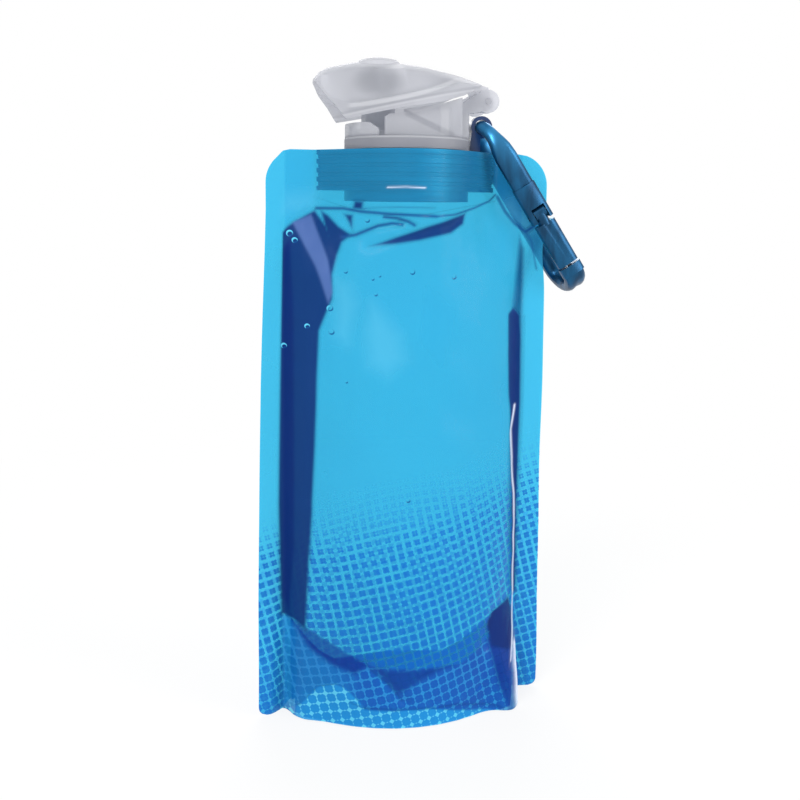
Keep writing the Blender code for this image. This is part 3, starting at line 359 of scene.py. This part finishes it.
def makeFilm(name, cadName, side, dents, paint, lines, glints):
    grid = bmesh.new()
    bmesh.ops.create_grid(grid, x_segments=film["columns"], y_segments=film["rows"], size=0.5)
    mesh = bpy.data.meshes.new(name)
    grid.to_mesh(mesh)
    grid.free()
    count = len(mesh.vertices)
    flat = np.zeros(count * 3)
    mesh.vertices.foreach_get("co", flat)
    flat = flat.reshape(-1, 3)
    z = (flat[:, 1] + 0.5) * film["height"]
    half = np.full(count, film["half"])
    for corner, rise in ((film["topCorner"], z - film["height"]), (film["bottomCorner"], -z)):
        into = np.clip(rise + corner, 0, corner)
        half -= corner - np.sqrt(np.maximum(corner ** 2 - into ** 2, 0))
    x = 2 * flat[:, 0] * half
    depth = sample(*readDepths(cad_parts[cadName], side), x, z) - film["inwards"]
    places = np.stack([x, z], 1) * inMm
    column, height = places[:, 0], places[:, 1]
    free = np.clip((flange["seal"] - np.abs(column)) / crease["sealFade"], 0, 1)
    onCollar = np.clip((height - crease["collarFoot"]) / crease["collarFade"], 0, 1)
    collar = 1 - onCollar * (np.abs(column) < crease["collarHalf"])
    soft = np.minimum(free, collar) * np.clip(height / crease["footFade"], 0, 1)
    for path, deep, width in dents:
        depth -= mm * deep * onPath(places, path, width) * np.maximum(soft, crease["leastDent"])
    roll = sum(tall * np.sin(height / upLength + column / sideLength) for tall, upLength, sideLength in crease["rolls"])
    depth -= mm * (crease["sink"] + roll) * soft
    pleats = np.sin(column / crease["pleatLength"])
    pleats = pleats * np.exp(-((height - crease["pleatHeight"]) / crease["pleatSpan"]) ** 2) * soft
    depth -= mm * crease["pleatDepth"] * pleats
    beside = (np.abs(column) - flange["seal"] + crease["puckerInset"]) / crease["puckerWidth"]
    pucker = np.exp(-beside ** 2) * np.clip(height / crease["puckerFade"], 0, 1)
    sway = crease["puckerSway"] * np.sin(height / crease["swayLength"])
    depth -= mm * crease["puckerDepth"] * pucker * (1 + np.sin(height / crease["puckerLength"] + sway))
    depth = np.maximum(depth, film["thinnest"])
    out = side * depth - mm * (flangeBend(places) + (bottomBulge(places) if side < 0 else 0))
    leaning = eased((-flange["leanFrom"] - column) / flange["fade"])
    x = x + mm * leaning * np.interp(height, flange["shiftHeights"], flange["shifts"])
    besideClip = np.exp(-((height - flange["clipHeight"]) / flange["clipSpan"]) ** 2)
    besideClip = besideClip * eased((column - flange["clipFrom"]) / flange["clipFade"])
    x = x - mm * flange["drawnIn"] * besideClip  # clear of the open gate
    mesh.vertices.foreach_set("co", np.stack([x, out, z], 1).ravel())
    if side > 0:
        mesh.flip_normals()
    layers = {}
    for key, (edge, outlines) in paint.items():
        layers[key] = np.zeros(count)
        for outline in outlines:
            layers[key] = np.maximum(layers[key], inOutline(places, outline, edge))
    for key, strokes in (("line", lines), ("glint", glints)):
        layers[key] = np.zeros(count)
        for path, width, strength in strokes:
            layers[key] = np.maximum(layers[key], strength * onPath(places, path, width))
    for key, values in layers.items():
        mesh.attributes.new(key, "FLOAT", "POINT").data.foreach_set("value", values.astype(np.float32))
    mesh.polygons.foreach_set("use_smooth", [True] * len(mesh.polygons))
    made = bpy.data.objects.new(name, mesh)
    scene.collection.objects.link(made)
    body = "front_panel" if side < 0 else "back_panel"
    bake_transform(made, "root", body, start=(0, 0, 0.193), end=(0, 0, 0.145))
    fall = eased((flatten["start"] - z) / (flatten["start"] - flatten["end"])) * flatten["closed"]
    weight = np.clip(depth * fall / flatten["travel"], 0, 1)
    mesh.attributes["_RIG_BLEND"].data.foreach_set("value", weight.astype(np.float32))
    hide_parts(cadName)
    return made


# film colours: among them the painted shade of the side bands and foot patches, the painted light patches and the
# painted highlight of the glints
filmLook = {"clear": linear(50, 164, 218), "seal": linear(72, 184, 228), "navyShade": linear(4, 38, 104),
            "violet": linear(72, 96, 156), "paleLight": linear(120, 205, 236), "print": linear(4, 92, 180),
            "backPrint": linear(0, 84, 236), "fold": linear(14, 78, 166), "foldLeft": linear(16, 108, 178),
            "foldDots": linear(40, 132, 200), "deep": linear(6, 54, 138), "strip": linear(20, 132, 204),
            "stripDots": linear(90, 196, 230), "line": linear(6, 58, 124), "glint": linear(200, 206, 222),
            "tint": (0.25, 0.77, 0.89, 1), "opacity": 0.34, "cloud": 0.06, "inked": 0.5, "milky": 0.07,
            "cloudGrain": (22.0, 2.0), "cloudSpan": (0.3, 0.75), "paleLightShare": 0.4, "rimOnNavy": 0.8,
            "rimElsewhere": 0.2, "roughness": 0.34, "navyRoughness": 0.2, "mirror": 0.14, "coat": 0.08,
            "coatRoughness": 0.1, "glow": 0.5,
            "sealSpan": (45.0, 46.2), "stripTop": (0.0165, 0.0155), "stripSide": (43.4, 42.4),
            "foldSpan": (-0.018, -0.034), "cover": {
                "strip": 0.8, "fold": 0.74, "navyShade": 0.95, "violet": 0.96, "line": 0.9, "glint": 0.95, "rims": 0.8},
            "mostOpaque": 0.97, "rimLeans": (-0.3, 0.35), "rimInner": 0.6, "rimOuter": 0.85, "bubbles": [
                (-18.1, 186.5, 0.9), (-44, 181.5, 1.3), (-42.3, 179, 1.1), (-25.7, 168.1, 0.7), (-16.6, 165.7, 0.6),
                (-2.6, 168.3, 1.1), (13.3, 166.4, 1.0), (-30.8, 154.7, 1.2), (-30.4, 146.2, 1.1),
                (-38.5, 147.9, 1.0), (-46.1, 139.9, 1.1), (-15.5, 160.2, 0.7), (-14.2, 166.8, 0.5),
                (-25.4, 128.3, 0.5), (-3.8, 85.3, 0.9)]}


dotLook = {"pitch": 3.4, "wave": 0.9, "star": 0.4, "level": 1.45, "growth": 2.25, "power": 1.15, "soft": 0.2,
           "fadeIn": 0.3, "frontTurn": 14.5, "frontSlope": 0.30}


def halftone(place, turn, leftStart, slope):  # printed dots, growing from a sloping line down to the foot
    x, z = place.axis("X") * inMm, place.axis("Z") * inMm
    cosine, sine = math.cos(math.radians(turn)), math.sin(math.radians(turn))
    turnsPerUnit = 1 / dotLook["pitch"]
    across, upward = x * cosine + z * sine, z * cosine - x * sine
    waves = across.wave(turnsPerUnit), upward.wave(turnsPerUnit)
    squares = waves[0] * waves[0] + waves[1] * waves[1]
    wave = (waves[0] + waves[1]) * dotLook["wave"] - squares * dotLook["wave"] + dotLook["wave"]
    sines = [way.maths("SINE", way * (2 * math.pi / dotLook["pitch"])) for way in (across, upward)]
    star = abs(sines[0] * sines[1])
    start = x * slope + leftStart
    down = (start - z) / start
    level = dotLook["level"] - down.maths("POWER", down.highest(0.0), dotLook["power"]) * dotLook["growth"]
    dots = (wave + star * dotLook["star"] - level).between(-dotLook["soft"], dotLook["soft"])
    return dots * down.between(0.0, dotLook["fadeIn"])


def bubbleRims(place):  # painted shade on the lower rims of the bubbles and painted highlights on the upper ones
    flat = place.node("ShaderNodeVectorMath", {"operation": "MULTIPLY"}, {0: place, 1: (inMm, 0, inMm)})
    inner, outer = filmLook["rimInner"], filmLook["rimOuter"]
    rims = []
    for lean in filmLook["rimLeans"]:
        total = None
        for x, z, radius in filmLook["bubbles"]:
            middle = flat.node("ShaderNodeVectorMath", {"operation": "DISTANCE"}, {0: flat, 1: (x, 0, z)}, 1)
            lifted = flat.node("ShaderNodeVectorMath", {"operation": "DISTANCE"},
                               {0: flat, 1: (x + lean * 0.5, 0, z - lean)}, 1)
            rim = middle.between(radius, radius * outer) * lifted.between(radius * inner, radius * outer)
            total = rim if total is None else total.highest(rim)
        rims.append(total)
    return rims


def filmMaterial(name, turn, ink, leftStart, slope):
    made, start, place = newMaterial(name)
    printed = name == "printedFilm"
    layer = {key: start.node("ShaderNodeAttribute", {"attribute_name": key}, None, 2)
             for key in ("navyShade", "paleLight", "violet", "line", "glint", "fold", "deep")}
    x = abs(place.axis("X") * inMm)
    seal = x.between(*filmLook["sealSpan"])
    dots = halftone(place, turn, leftStart, slope) * ink
    cloud = place.noise(*filmLook["cloudGrain"]).between(*filmLook["cloudSpan"])
    colour = seal.paint(filmLook["clear"], filmLook["seal"])
    # painted light: the pale patches
    colour = (layer["paleLight"] * filmLook["paleLightShare"]).paint(colour, filmLook["paleLight"])
    colour = dots.paint(colour, filmLook["print" if printed else "backPrint"])
    light = 1 - dots
    covers = dict(layer)
    if printed:  # the lighter strip at the foot, below the fold
        covers["strip"] = (place.axis("Z").between(*filmLook["stripTop"]) * (1 - layer["fold"])
                           * x.between(*filmLook["stripSide"]))
        colour = covers["strip"].paint(colour, light.paint(filmLook["strip"], filmLook["stripDots"]))
    folded = place.axis("X").between(*filmLook["foldSpan"]).paint(filmLook["fold"], filmLook["foldLeft"])
    # light dots in the print on the foot, with the painted shade patches over them
    folded = layer["deep"].paint(light.paint(folded, filmLook["foldDots"]), filmLook["deep"])
    colour = layer["fold"].paint(colour, folded)
    # the painted shade bands, the violet patches, the dark lines with their painted crease shade, and the painted
    # glints go on top
    for key in ("navyShade", "violet", "line", "glint"):
        colour = layer[key].paint(colour, filmLook[key])
    if printed:
        shaded, lit = bubbleRims(place)
        lit = lit * (layer["navyShade"] * filmLook["rimOnNavy"] + filmLook["rimElsewhere"])
        colour = lit.paint(shaded.paint(colour, filmLook["line"]), filmLook["stripDots"])
        covers["rims"] = shaded.highest(lit)
    opacity = cloud * filmLook["cloud"] + filmLook["opacity"] - filmLook["cloud"] / 2
    # the painted light patches, and the ink, make the film less clear
    opacity = opacity + layer["paleLight"] * filmLook["milky"] + dots * filmLook["inked"]
    for key, share in filmLook["cover"].items():
        if key in covers:
            opacity = opacity.highest(covers[key] * share)
    opacity = opacity.maths("MINIMUM", opacity, filmLook["mostOpaque"])
    skin = start.node("ShaderNodeBsdfPrincipled", None, {
        "Base Color": colour, "Roughness": layer["navyShade"] * filmLook["navyRoughness"] + filmLook["roughness"],
        "IOR": 1.4, "Specular IOR Level": filmLook["mirror"], "Coat Weight": (1 - layer["navyShade"]) * filmLook["coat"],
        "Coat Roughness": filmLook["coatRoughness"], "Emission Strength": filmLook["glow"],
        "Emission Color": layer["glint"].paint(linear(0, 0, 0), filmLook["glint"])})
    clear = start.node("ShaderNodeBsdfTransparent", None, {"Color": filmLook["tint"]})
    finishMaterial(start, start.node("ShaderNodeMixShader", None, {0: opacity, 1: clear, 2: skin}))
    return made


frontFilm = makeFilm("frontFilm", "front_film", -1, frontDents, frontPaint, frontLines, frontGlints)
backFilm = makeFilm("backFilm", "back_film", 1, backDents, backPaint, backLines, [])
frontTurn, frontSlope = dotLook["frontTurn"], dotLook["frontSlope"]
frontFilm.data.materials.append(filmMaterial("printedFilm", turn=frontTurn, ink=0.95, leftStart=97, slope=frontSlope))
backFilm.data.materials.append(filmMaterial("plainFilm", turn=9.5, ink=0.5, leftStart=88, slope=0.18))
print("films done")


cleaning = {"merge": 0.00001, "flatWithin": math.radians(0.5), "sharpFrom": 34}


def dress(name, cadName, body, material, sharp=cleaning["sharpFrom"]):  # a CAD piece with smooth curves
    shape = bmesh.new()
    shape.from_mesh(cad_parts[cadName].data)
    bmesh.ops.remove_doubles(shape, verts=shape.verts, dist=cleaning["merge"])
    bmesh.ops.dissolve_limit(shape, angle_limit=cleaning["flatWithin"], verts=shape.verts, edges=shape.edges)
    for face in shape.faces:
        face.smooth = True
    for edge in shape.edges:
        edge.smooth = edge.is_manifold and edge.calc_face_angle(0) < math.radians(sharp)
    mesh = bpy.data.meshes.new(name)
    shape.to_mesh(mesh)
    shape.free()
    made = bpy.data.objects.new(name, mesh)
    scene.collection.objects.link(made)
    mesh.materials.append(material)
    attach(made, body)
    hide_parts(cadName)
    return made


# the streak colour is a painted highlight and shade the painted shade colour
neckLook = {"dark": linear(8, 66, 100), "light": linear(20, 104, 132), "litStreak": linear(70, 150, 176),
            "shade": linear(0, 44, 100), "roughness": 0.3, "coat": 0.25, "coatRoughness": 0.12,
            "grain": (55, 3.0, (0.35, 1, 5)), "grainSpan": (0.25, 0.75), "litStreakGrain": (40, 2.0, (0.3, 1, 6)),
            "litStreakSpan": (0.35, 0.6), "litStreakLeft": (-4, 3), "litStreakRight": (14, 6), "litStreakShare": 0.55,
            "shadeFrom": (8, 22), "shadeShare": 0.9, "endShadeFrom": (32.4, 33.2), "endShadeShare": 0.6}


def neckMaterial():
    made, start, place = newMaterial("collarPlastic")
    x = place.axis("X") * inMm
    # painted highlight: a lighter streak down the middle of the collar
    litStreak = (x.between(*neckLook["litStreakLeft"]) * x.between(*neckLook["litStreakRight"])
              * place.noise(*neckLook["litStreakGrain"]).between(*neckLook["litStreakSpan"]))
    grain = place.noise(*neckLook["grain"]).between(*neckLook["grainSpan"])
    colour = grain.paint(neckLook["dark"], neckLook["light"])
    colour = (litStreak * neckLook["litStreakShare"]).paint(colour, neckLook["litStreak"])
    # painted shade over the right side and at both ends of the collar
    colour = (x.between(*neckLook["shadeFrom"]) * neckLook["shadeShare"]).paint(colour, neckLook["shade"])
    colour = (abs(x).between(*neckLook["endShadeFrom"]) * neckLook["endShadeShare"]).paint(colour, neckLook["shade"])
    finishMaterial(start, start.node("ShaderNodeBsdfPrincipled", None, {
        "Base Color": colour, "Roughness": neckLook["roughness"], "Coat Weight": neckLook["coat"],
        "Coat Roughness": neckLook["coatRoughness"]}))
    return made


# the ridge colour is a painted highlight and the shade colour painted shade
frostedLook = {"dark": linear(198, 199, 204), "light": linear(214, 215, 220), "ridge": linear(232, 233, 236),
               "shade": linear(146, 148, 155), "ring": linear(152, 152, 160), "tint": (0.93, 0.935, 0.95, 1),
               "letsThrough": 0.3, "milky": 0.45, "roughness": 0.46, "grain": (45, 1.0), "grainSpan": (0.3, 0.7)}
lidLook = {"plugShadowMiddle": (-13.5, 236), "plugShadowHalf": (9.5, 6.5), "plugShadowSpan": (1.2, 0.1), "plugShadowShare": 0.6,
           "ridge": (0.005, 0.298, 231.6), "ridgeLeft": (-25, -23), "ridgeRight": (17, 12),
           "ridgeShadeSpan": (3.4, 0.6), "ridgeShadeShare": 0.35, "ridgeLightSpan": (1.2, 0.4), "ridgeLightShare": 0.8,
           "edgeShade": ((-27, 224.4), (27, 236), 0.6), "edgeShadeShare": 0.4,
           "edgeLight": ((-27, 223.5), (27, 235.1), 0.5), "edgeLightShare": 0.5}  # lines: ends, half width
capLook = {"slantShade": ((-4.6, 225.2), (14.3, 217), 1.6), "slantShadeShare": 0.55, "wallFrom": (12, 13),
           "rim": ((-23, 216.2), (23, 216.2), 0.5), "rimHighlightShare": 0.5, "ringTop": (217.6, 216.9), "ringSolid": 0.25,
           "solid": 0.95}


def nearLine(x, z, first, last, half):  # 1 on a straight line in the XZ plane, 0 from half away
    slope = (last[1] - first[1]) / (last[0] - first[0])
    away = abs(z - (x * slope + (first[1] - slope * first[0]))) / math.hypot(1, slope)
    return away.between(half, half * 0.4) * x.between(first[0] - 1, first[0] + 1) * x.between(last[0] + 1, last[0] - 1)


def frostedMaterial(name, isLid):
    made, start, place = newMaterial(name)
    x, z = place.axis("X") * inMm, place.axis("Z") * inMm
    grain = place.noise(*frostedLook["grain"]).between(*frostedLook["grainSpan"])
    colour = grain.paint(frostedLook["dark"], frostedLook["light"])
    if isLid:
        # painted shadow: a soft dark oval over the plug and spout inside the lid
        across, upward = ((way - middle) / half for way, middle, half in
                          zip((x, z), lidLook["plugShadowMiddle"], lidLook["plugShadowHalf"]))
        shadow = (across * across + upward * upward).between(*lidLook["plugShadowSpan"])
        colour = (shadow * lidLook["plugShadowShare"]).paint(colour, frostedLook["shade"])
        # painted shade just above the step ridge and a painted highlight along it
        curve, slope, middle = lidLook["ridge"]
        rise = abs(z - (x * x * curve + x * slope + middle))
        span = x.between(*lidLook["ridgeLeft"]) * x.between(*lidLook["ridgeRight"])
        dark = rise.between(*lidLook["ridgeShadeSpan"]) * span * lidLook["ridgeShadeShare"]
        lit = rise.between(*lidLook["ridgeLightSpan"]) * span * lidLook["ridgeLightShare"]
        colour = lit.paint(dark.paint(colour, frostedLook["shade"]), frostedLook["ridge"])
        # painted shade and a painted highlight along the lid's lower rim
        dark = nearLine(x, z, *lidLook["edgeShade"]) * lidLook["edgeShadeShare"]
        lit = nearLine(x, z, *lidLook["edgeLight"]) * lidLook["edgeLightShare"]
        colour = lit.paint(dark.paint(colour, frostedLook["shade"]), frostedLook["ridge"])
        solid = 1 - frostedLook["letsThrough"]
    else:
        ring = z.between(*capLook["ringTop"])
        # painted shade along the shoulder's slanted edge, on the side walls
        slantShade = nearLine(x, z, *capLook["slantShade"]) * abs(place.axis("Y") * inMm).between(*capLook["wallFrom"])
        colour = (slantShade * capLook["slantShadeShare"]).paint(colour, frostedLook["shade"])
        colour = ring.paint(colour, frostedLook["ring"])
        # painted highlight along the ring's top edge
        colour = (nearLine(x, z, *capLook["rim"]) * capLook["rimHighlightShare"]).paint(colour, frostedLook["ridge"])
        solid = ring * capLook["ringSolid"] + (capLook["solid"] - frostedLook["letsThrough"])
    skin = start.node("ShaderNodeBsdfPrincipled", None, {
        "Base Color": colour, "Roughness": frostedLook["roughness"], "IOR": 1.5})
    through = start.node("ShaderNodeBsdfTranslucent", None, {"Color": frostedLook["light"]})
    milky = start.node("ShaderNodeMixShader", None, {0: frostedLook["milky"], 1: skin, 2: through})
    clear = start.node("ShaderNodeBsdfTransparent", None, {"Color": frostedLook["tint"]})
    finishMaterial(start, start.node("ShaderNodeMixShader", None, {0: solid, 1: clear, 2: milky}))
    return made


collarPlastic = neckMaterial()
capPlastic = frostedMaterial("capPlastic", False)
lidPlastic = frostedMaterial("lidPlastic", True)
rubber = plainMaterial("rubber", {"dark": linear(150, 152, 158), "light": linear(165, 167, 172), "grainScale": 80,
                                  "roughness": 0.6})
# the clip: painted highlight towards the top, by the eyelet
anodised = plainMaterial("anodised", {"dark": linear(8, 52, 82), "light": linear(20, 84, 124), "grainScale": 240,
                                      "stretch": (1, 1, 0.2), "roughness": 0.33, "metallic": 0.7,
                                      "upper": linear(58, 150, 206), "upperSpan": (0.203, 0.228), "upperShare": 0.8})
steel = plainMaterial("steel", {"dark": linear(176, 178, 182), "light": linear(200, 202, 206), "grainScale": 300,
                                "roughness": 0.34, "metallic": 0.9})
brass = plainMaterial("brass", {"dark": linear(170, 130, 60), "light": linear(196, 156, 84), "grainScale": 300,
                                "roughness": 0.3, "metallic": 1.0})


gussetLook = {"clear": linear(70, 175, 232), "print": linear(18, 92, 190), "roughness": 0.36, "leftStart": 95,
              "opacity": 0.4, "inked": 0.3, "sharpFrom": 60, "frontFrom": -0.002, "fullPush": 0.012}


def gussetMaterial():
    made, start, place = newMaterial("foldedBottom")
    dots = halftone(place, frontTurn, gussetLook["leftStart"], frontSlope)
    colour = dots.paint(gussetLook["clear"], gussetLook["print"])
    skin = start.node("ShaderNodeBsdfPrincipled", None, {
        "Base Color": colour, "Roughness": gussetLook["roughness"], "IOR": 1.4, "Specular IOR Level": 0.2})
    clear = start.node("ShaderNodeBsdfTransparent", None, {"Color": filmLook["tint"]})
    opacity = dots * gussetLook["inked"] + gussetLook["opacity"]
    finishMaterial(start, start.node("ShaderNodeMixShader", None, {0: opacity, 1: clear, 2: skin}))
    return made


gusset = dress("foldedBottom", "bottom_gusset", "root", gussetMaterial(), gussetLook["sharpFrom"])
for vert in gusset.data.vertices:  # its front follows the front film's bulge
    place = np.array([[vert.co.x * inMm, vert.co.z * inMm]])
    push = 0
    if vert.co.y < gussetLook["frontFrom"]:
        push = bottomBulge(place)[0] * min(1, abs(vert.co.y) / gussetLook["fullPush"])
    vert.co.y -= mm * (push + flangeBend(place)[0])
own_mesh(gusset)
dress("neck", "neck_fitment", "root", collarPlastic)
dress("cap", "cap_shell", "cap", capPlastic)
dress("spout", "drinking_spout", "cap", capPlastic)
dress("lid", "flip_lid", "lid", lidPlastic)
dress("lidPlug", "lid_plug", "lid", rubber)
dress("liner", "cap_liner", "liner", rubber)
dress("hingePin", "hinge_pin", "cap", capPlastic)
dress("clip", "carabiner_body", "carabiner", anodised)
dress("gate", "carabiner_gate", "gate", anodised)
dress("rivet", "gate_rivet", "carabiner", steel)
dress("latchPin", "latch_pin", "gate", steel)
dress("plunger", "gate_plunger", "plunger", brass)
spring = dress("spring", "gate_spring", "gate", steel)
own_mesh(spring)
print("hard pieces done")


stageLook = {"shade": 0.86, "fadeSpan": (0.12, 0.5), "nearGlow": 0.83, "half": 3, "below": 0.0004,
             "skySeen": 1.0, "skyUnseen": 0.45}


def stageMaterial(name, shade):
    made, start, place = newMaterial(name)
    away = place.node("ShaderNodeVectorMath", {"operation": "LENGTH"}, {0: place}, 1)
    glow = away.between(*stageLook["fadeSpan"]) * (1 - stageLook["nearGlow"]) + stageLook["nearGlow"]
    matt = start.node("ShaderNodeBsdfDiffuse", None, {"Color": (shade, shade, shade, 1)})
    white = start.node("ShaderNodeEmission", None, {"Color": (1, 1, 1, 1), "Strength": 1.0})
    finishMaterial(start, start.node("ShaderNodeMixShader", None, {0: glow, 1: matt, 2: white}))
    return made


floorShape = bmesh.new()
bmesh.ops.create_grid(floorShape, x_segments=1, y_segments=1, size=stageLook["half"])
bmesh.ops.translate(floorShape, verts=floorShape.verts, vec=(0, 0, -stageLook["below"]))
floorMesh = bpy.data.meshes.new("floor")
floorShape.to_mesh(floorMesh)
floorShape.free()
floor = bpy.data.objects.new("floor", floorMesh)
scene.collection.objects.link(floor)
floorMesh.materials.append(stageMaterial("floorPaper", stageLook["shade"]))

world = bpy.data.worlds.new("studio")
scene.world = world
world.use_nodes = True
world.node_tree.nodes.clear()
sky = Wire(world.node_tree, None)
path = world.node_tree.nodes.new("ShaderNodeLightPath")
camRay, glossyRay, throughRay = (Wire(world.node_tree, path.outputs[f"Is {kind} Ray"])
                                 for kind in ("Camera", "Glossy", "Transmission"))
seen = camRay.highest(glossyRay).highest(throughRay)
glow = seen * (stageLook["skySeen"] - stageLook["skyUnseen"]) + stageLook["skyUnseen"]
light = sky.node("ShaderNodeBackground", None, {"Color": (1, 1, 1, 1), "Strength": glow})
ending = world.node_tree.nodes.new("ShaderNodeOutputWorld")
world.node_tree.links.new(light.socket, ending.inputs["Surface"])

lamps = [  # place, size, watts
    ("keyLamp", (-0.55, -0.75, 0.75), 0.5, 9.0),
    ("fillLamp", (0.75, -0.55, 0.35), 0.6, 5.0),
    ("backLamp", (0.15, 0.9, 0.65), 0.7, 7.0),
]
target = Vector((0, 0, 0.12))  # the lamps point here
for name, spot, size, watts in lamps:
    lamp = bpy.data.lights.new(name, "AREA")
    lamp.size = size
    lamp.energy = watts
    holder = bpy.data.objects.new(name, lamp)
    scene.collection.objects.link(holder)
    holder.location = spot
    holder.rotation_euler = (target - Vector(spot)).to_track_quat("-Z", "Y").to_euler()

view = {"azimuth": 12.887, "distance": 0.42, "height": 0.19, "tilt": 6.4233, "roll": 0.61,
        "lens": 49.97, "shift": (-0.0058, -0.08), "nearest": 0.01}
azimuth, tilt, roll = (math.radians(view[key]) for key in ("azimuth", "tilt", "roll"))
forward = Vector((math.sin(azimuth) * math.cos(tilt), math.cos(azimuth) * math.cos(tilt), -math.sin(tilt)))
level = Vector((math.cos(azimuth), -math.sin(azimuth), 0))
upright = level.cross(forward)
right = level * math.cos(roll) + upright * math.sin(roll)
upward = upright * math.cos(roll) - level * math.sin(roll)
lens = bpy.data.cameras.new("camera")
lens.lens = view["lens"]
lens.shift_x, lens.shift_y = view["shift"]
lens.clip_start = view["nearest"]
camera = bpy.data.objects.new("camera", lens)
scene.collection.objects.link(camera)
turned = Matrix((right, upward, -forward)).transposed().to_4x4()
spot = (-math.sin(azimuth) * view["distance"], -math.cos(azimuth) * view["distance"], view["height"])
camera.matrix_world = Matrix.Translation(spot) @ turned
scene.camera = camera
print("stage done")
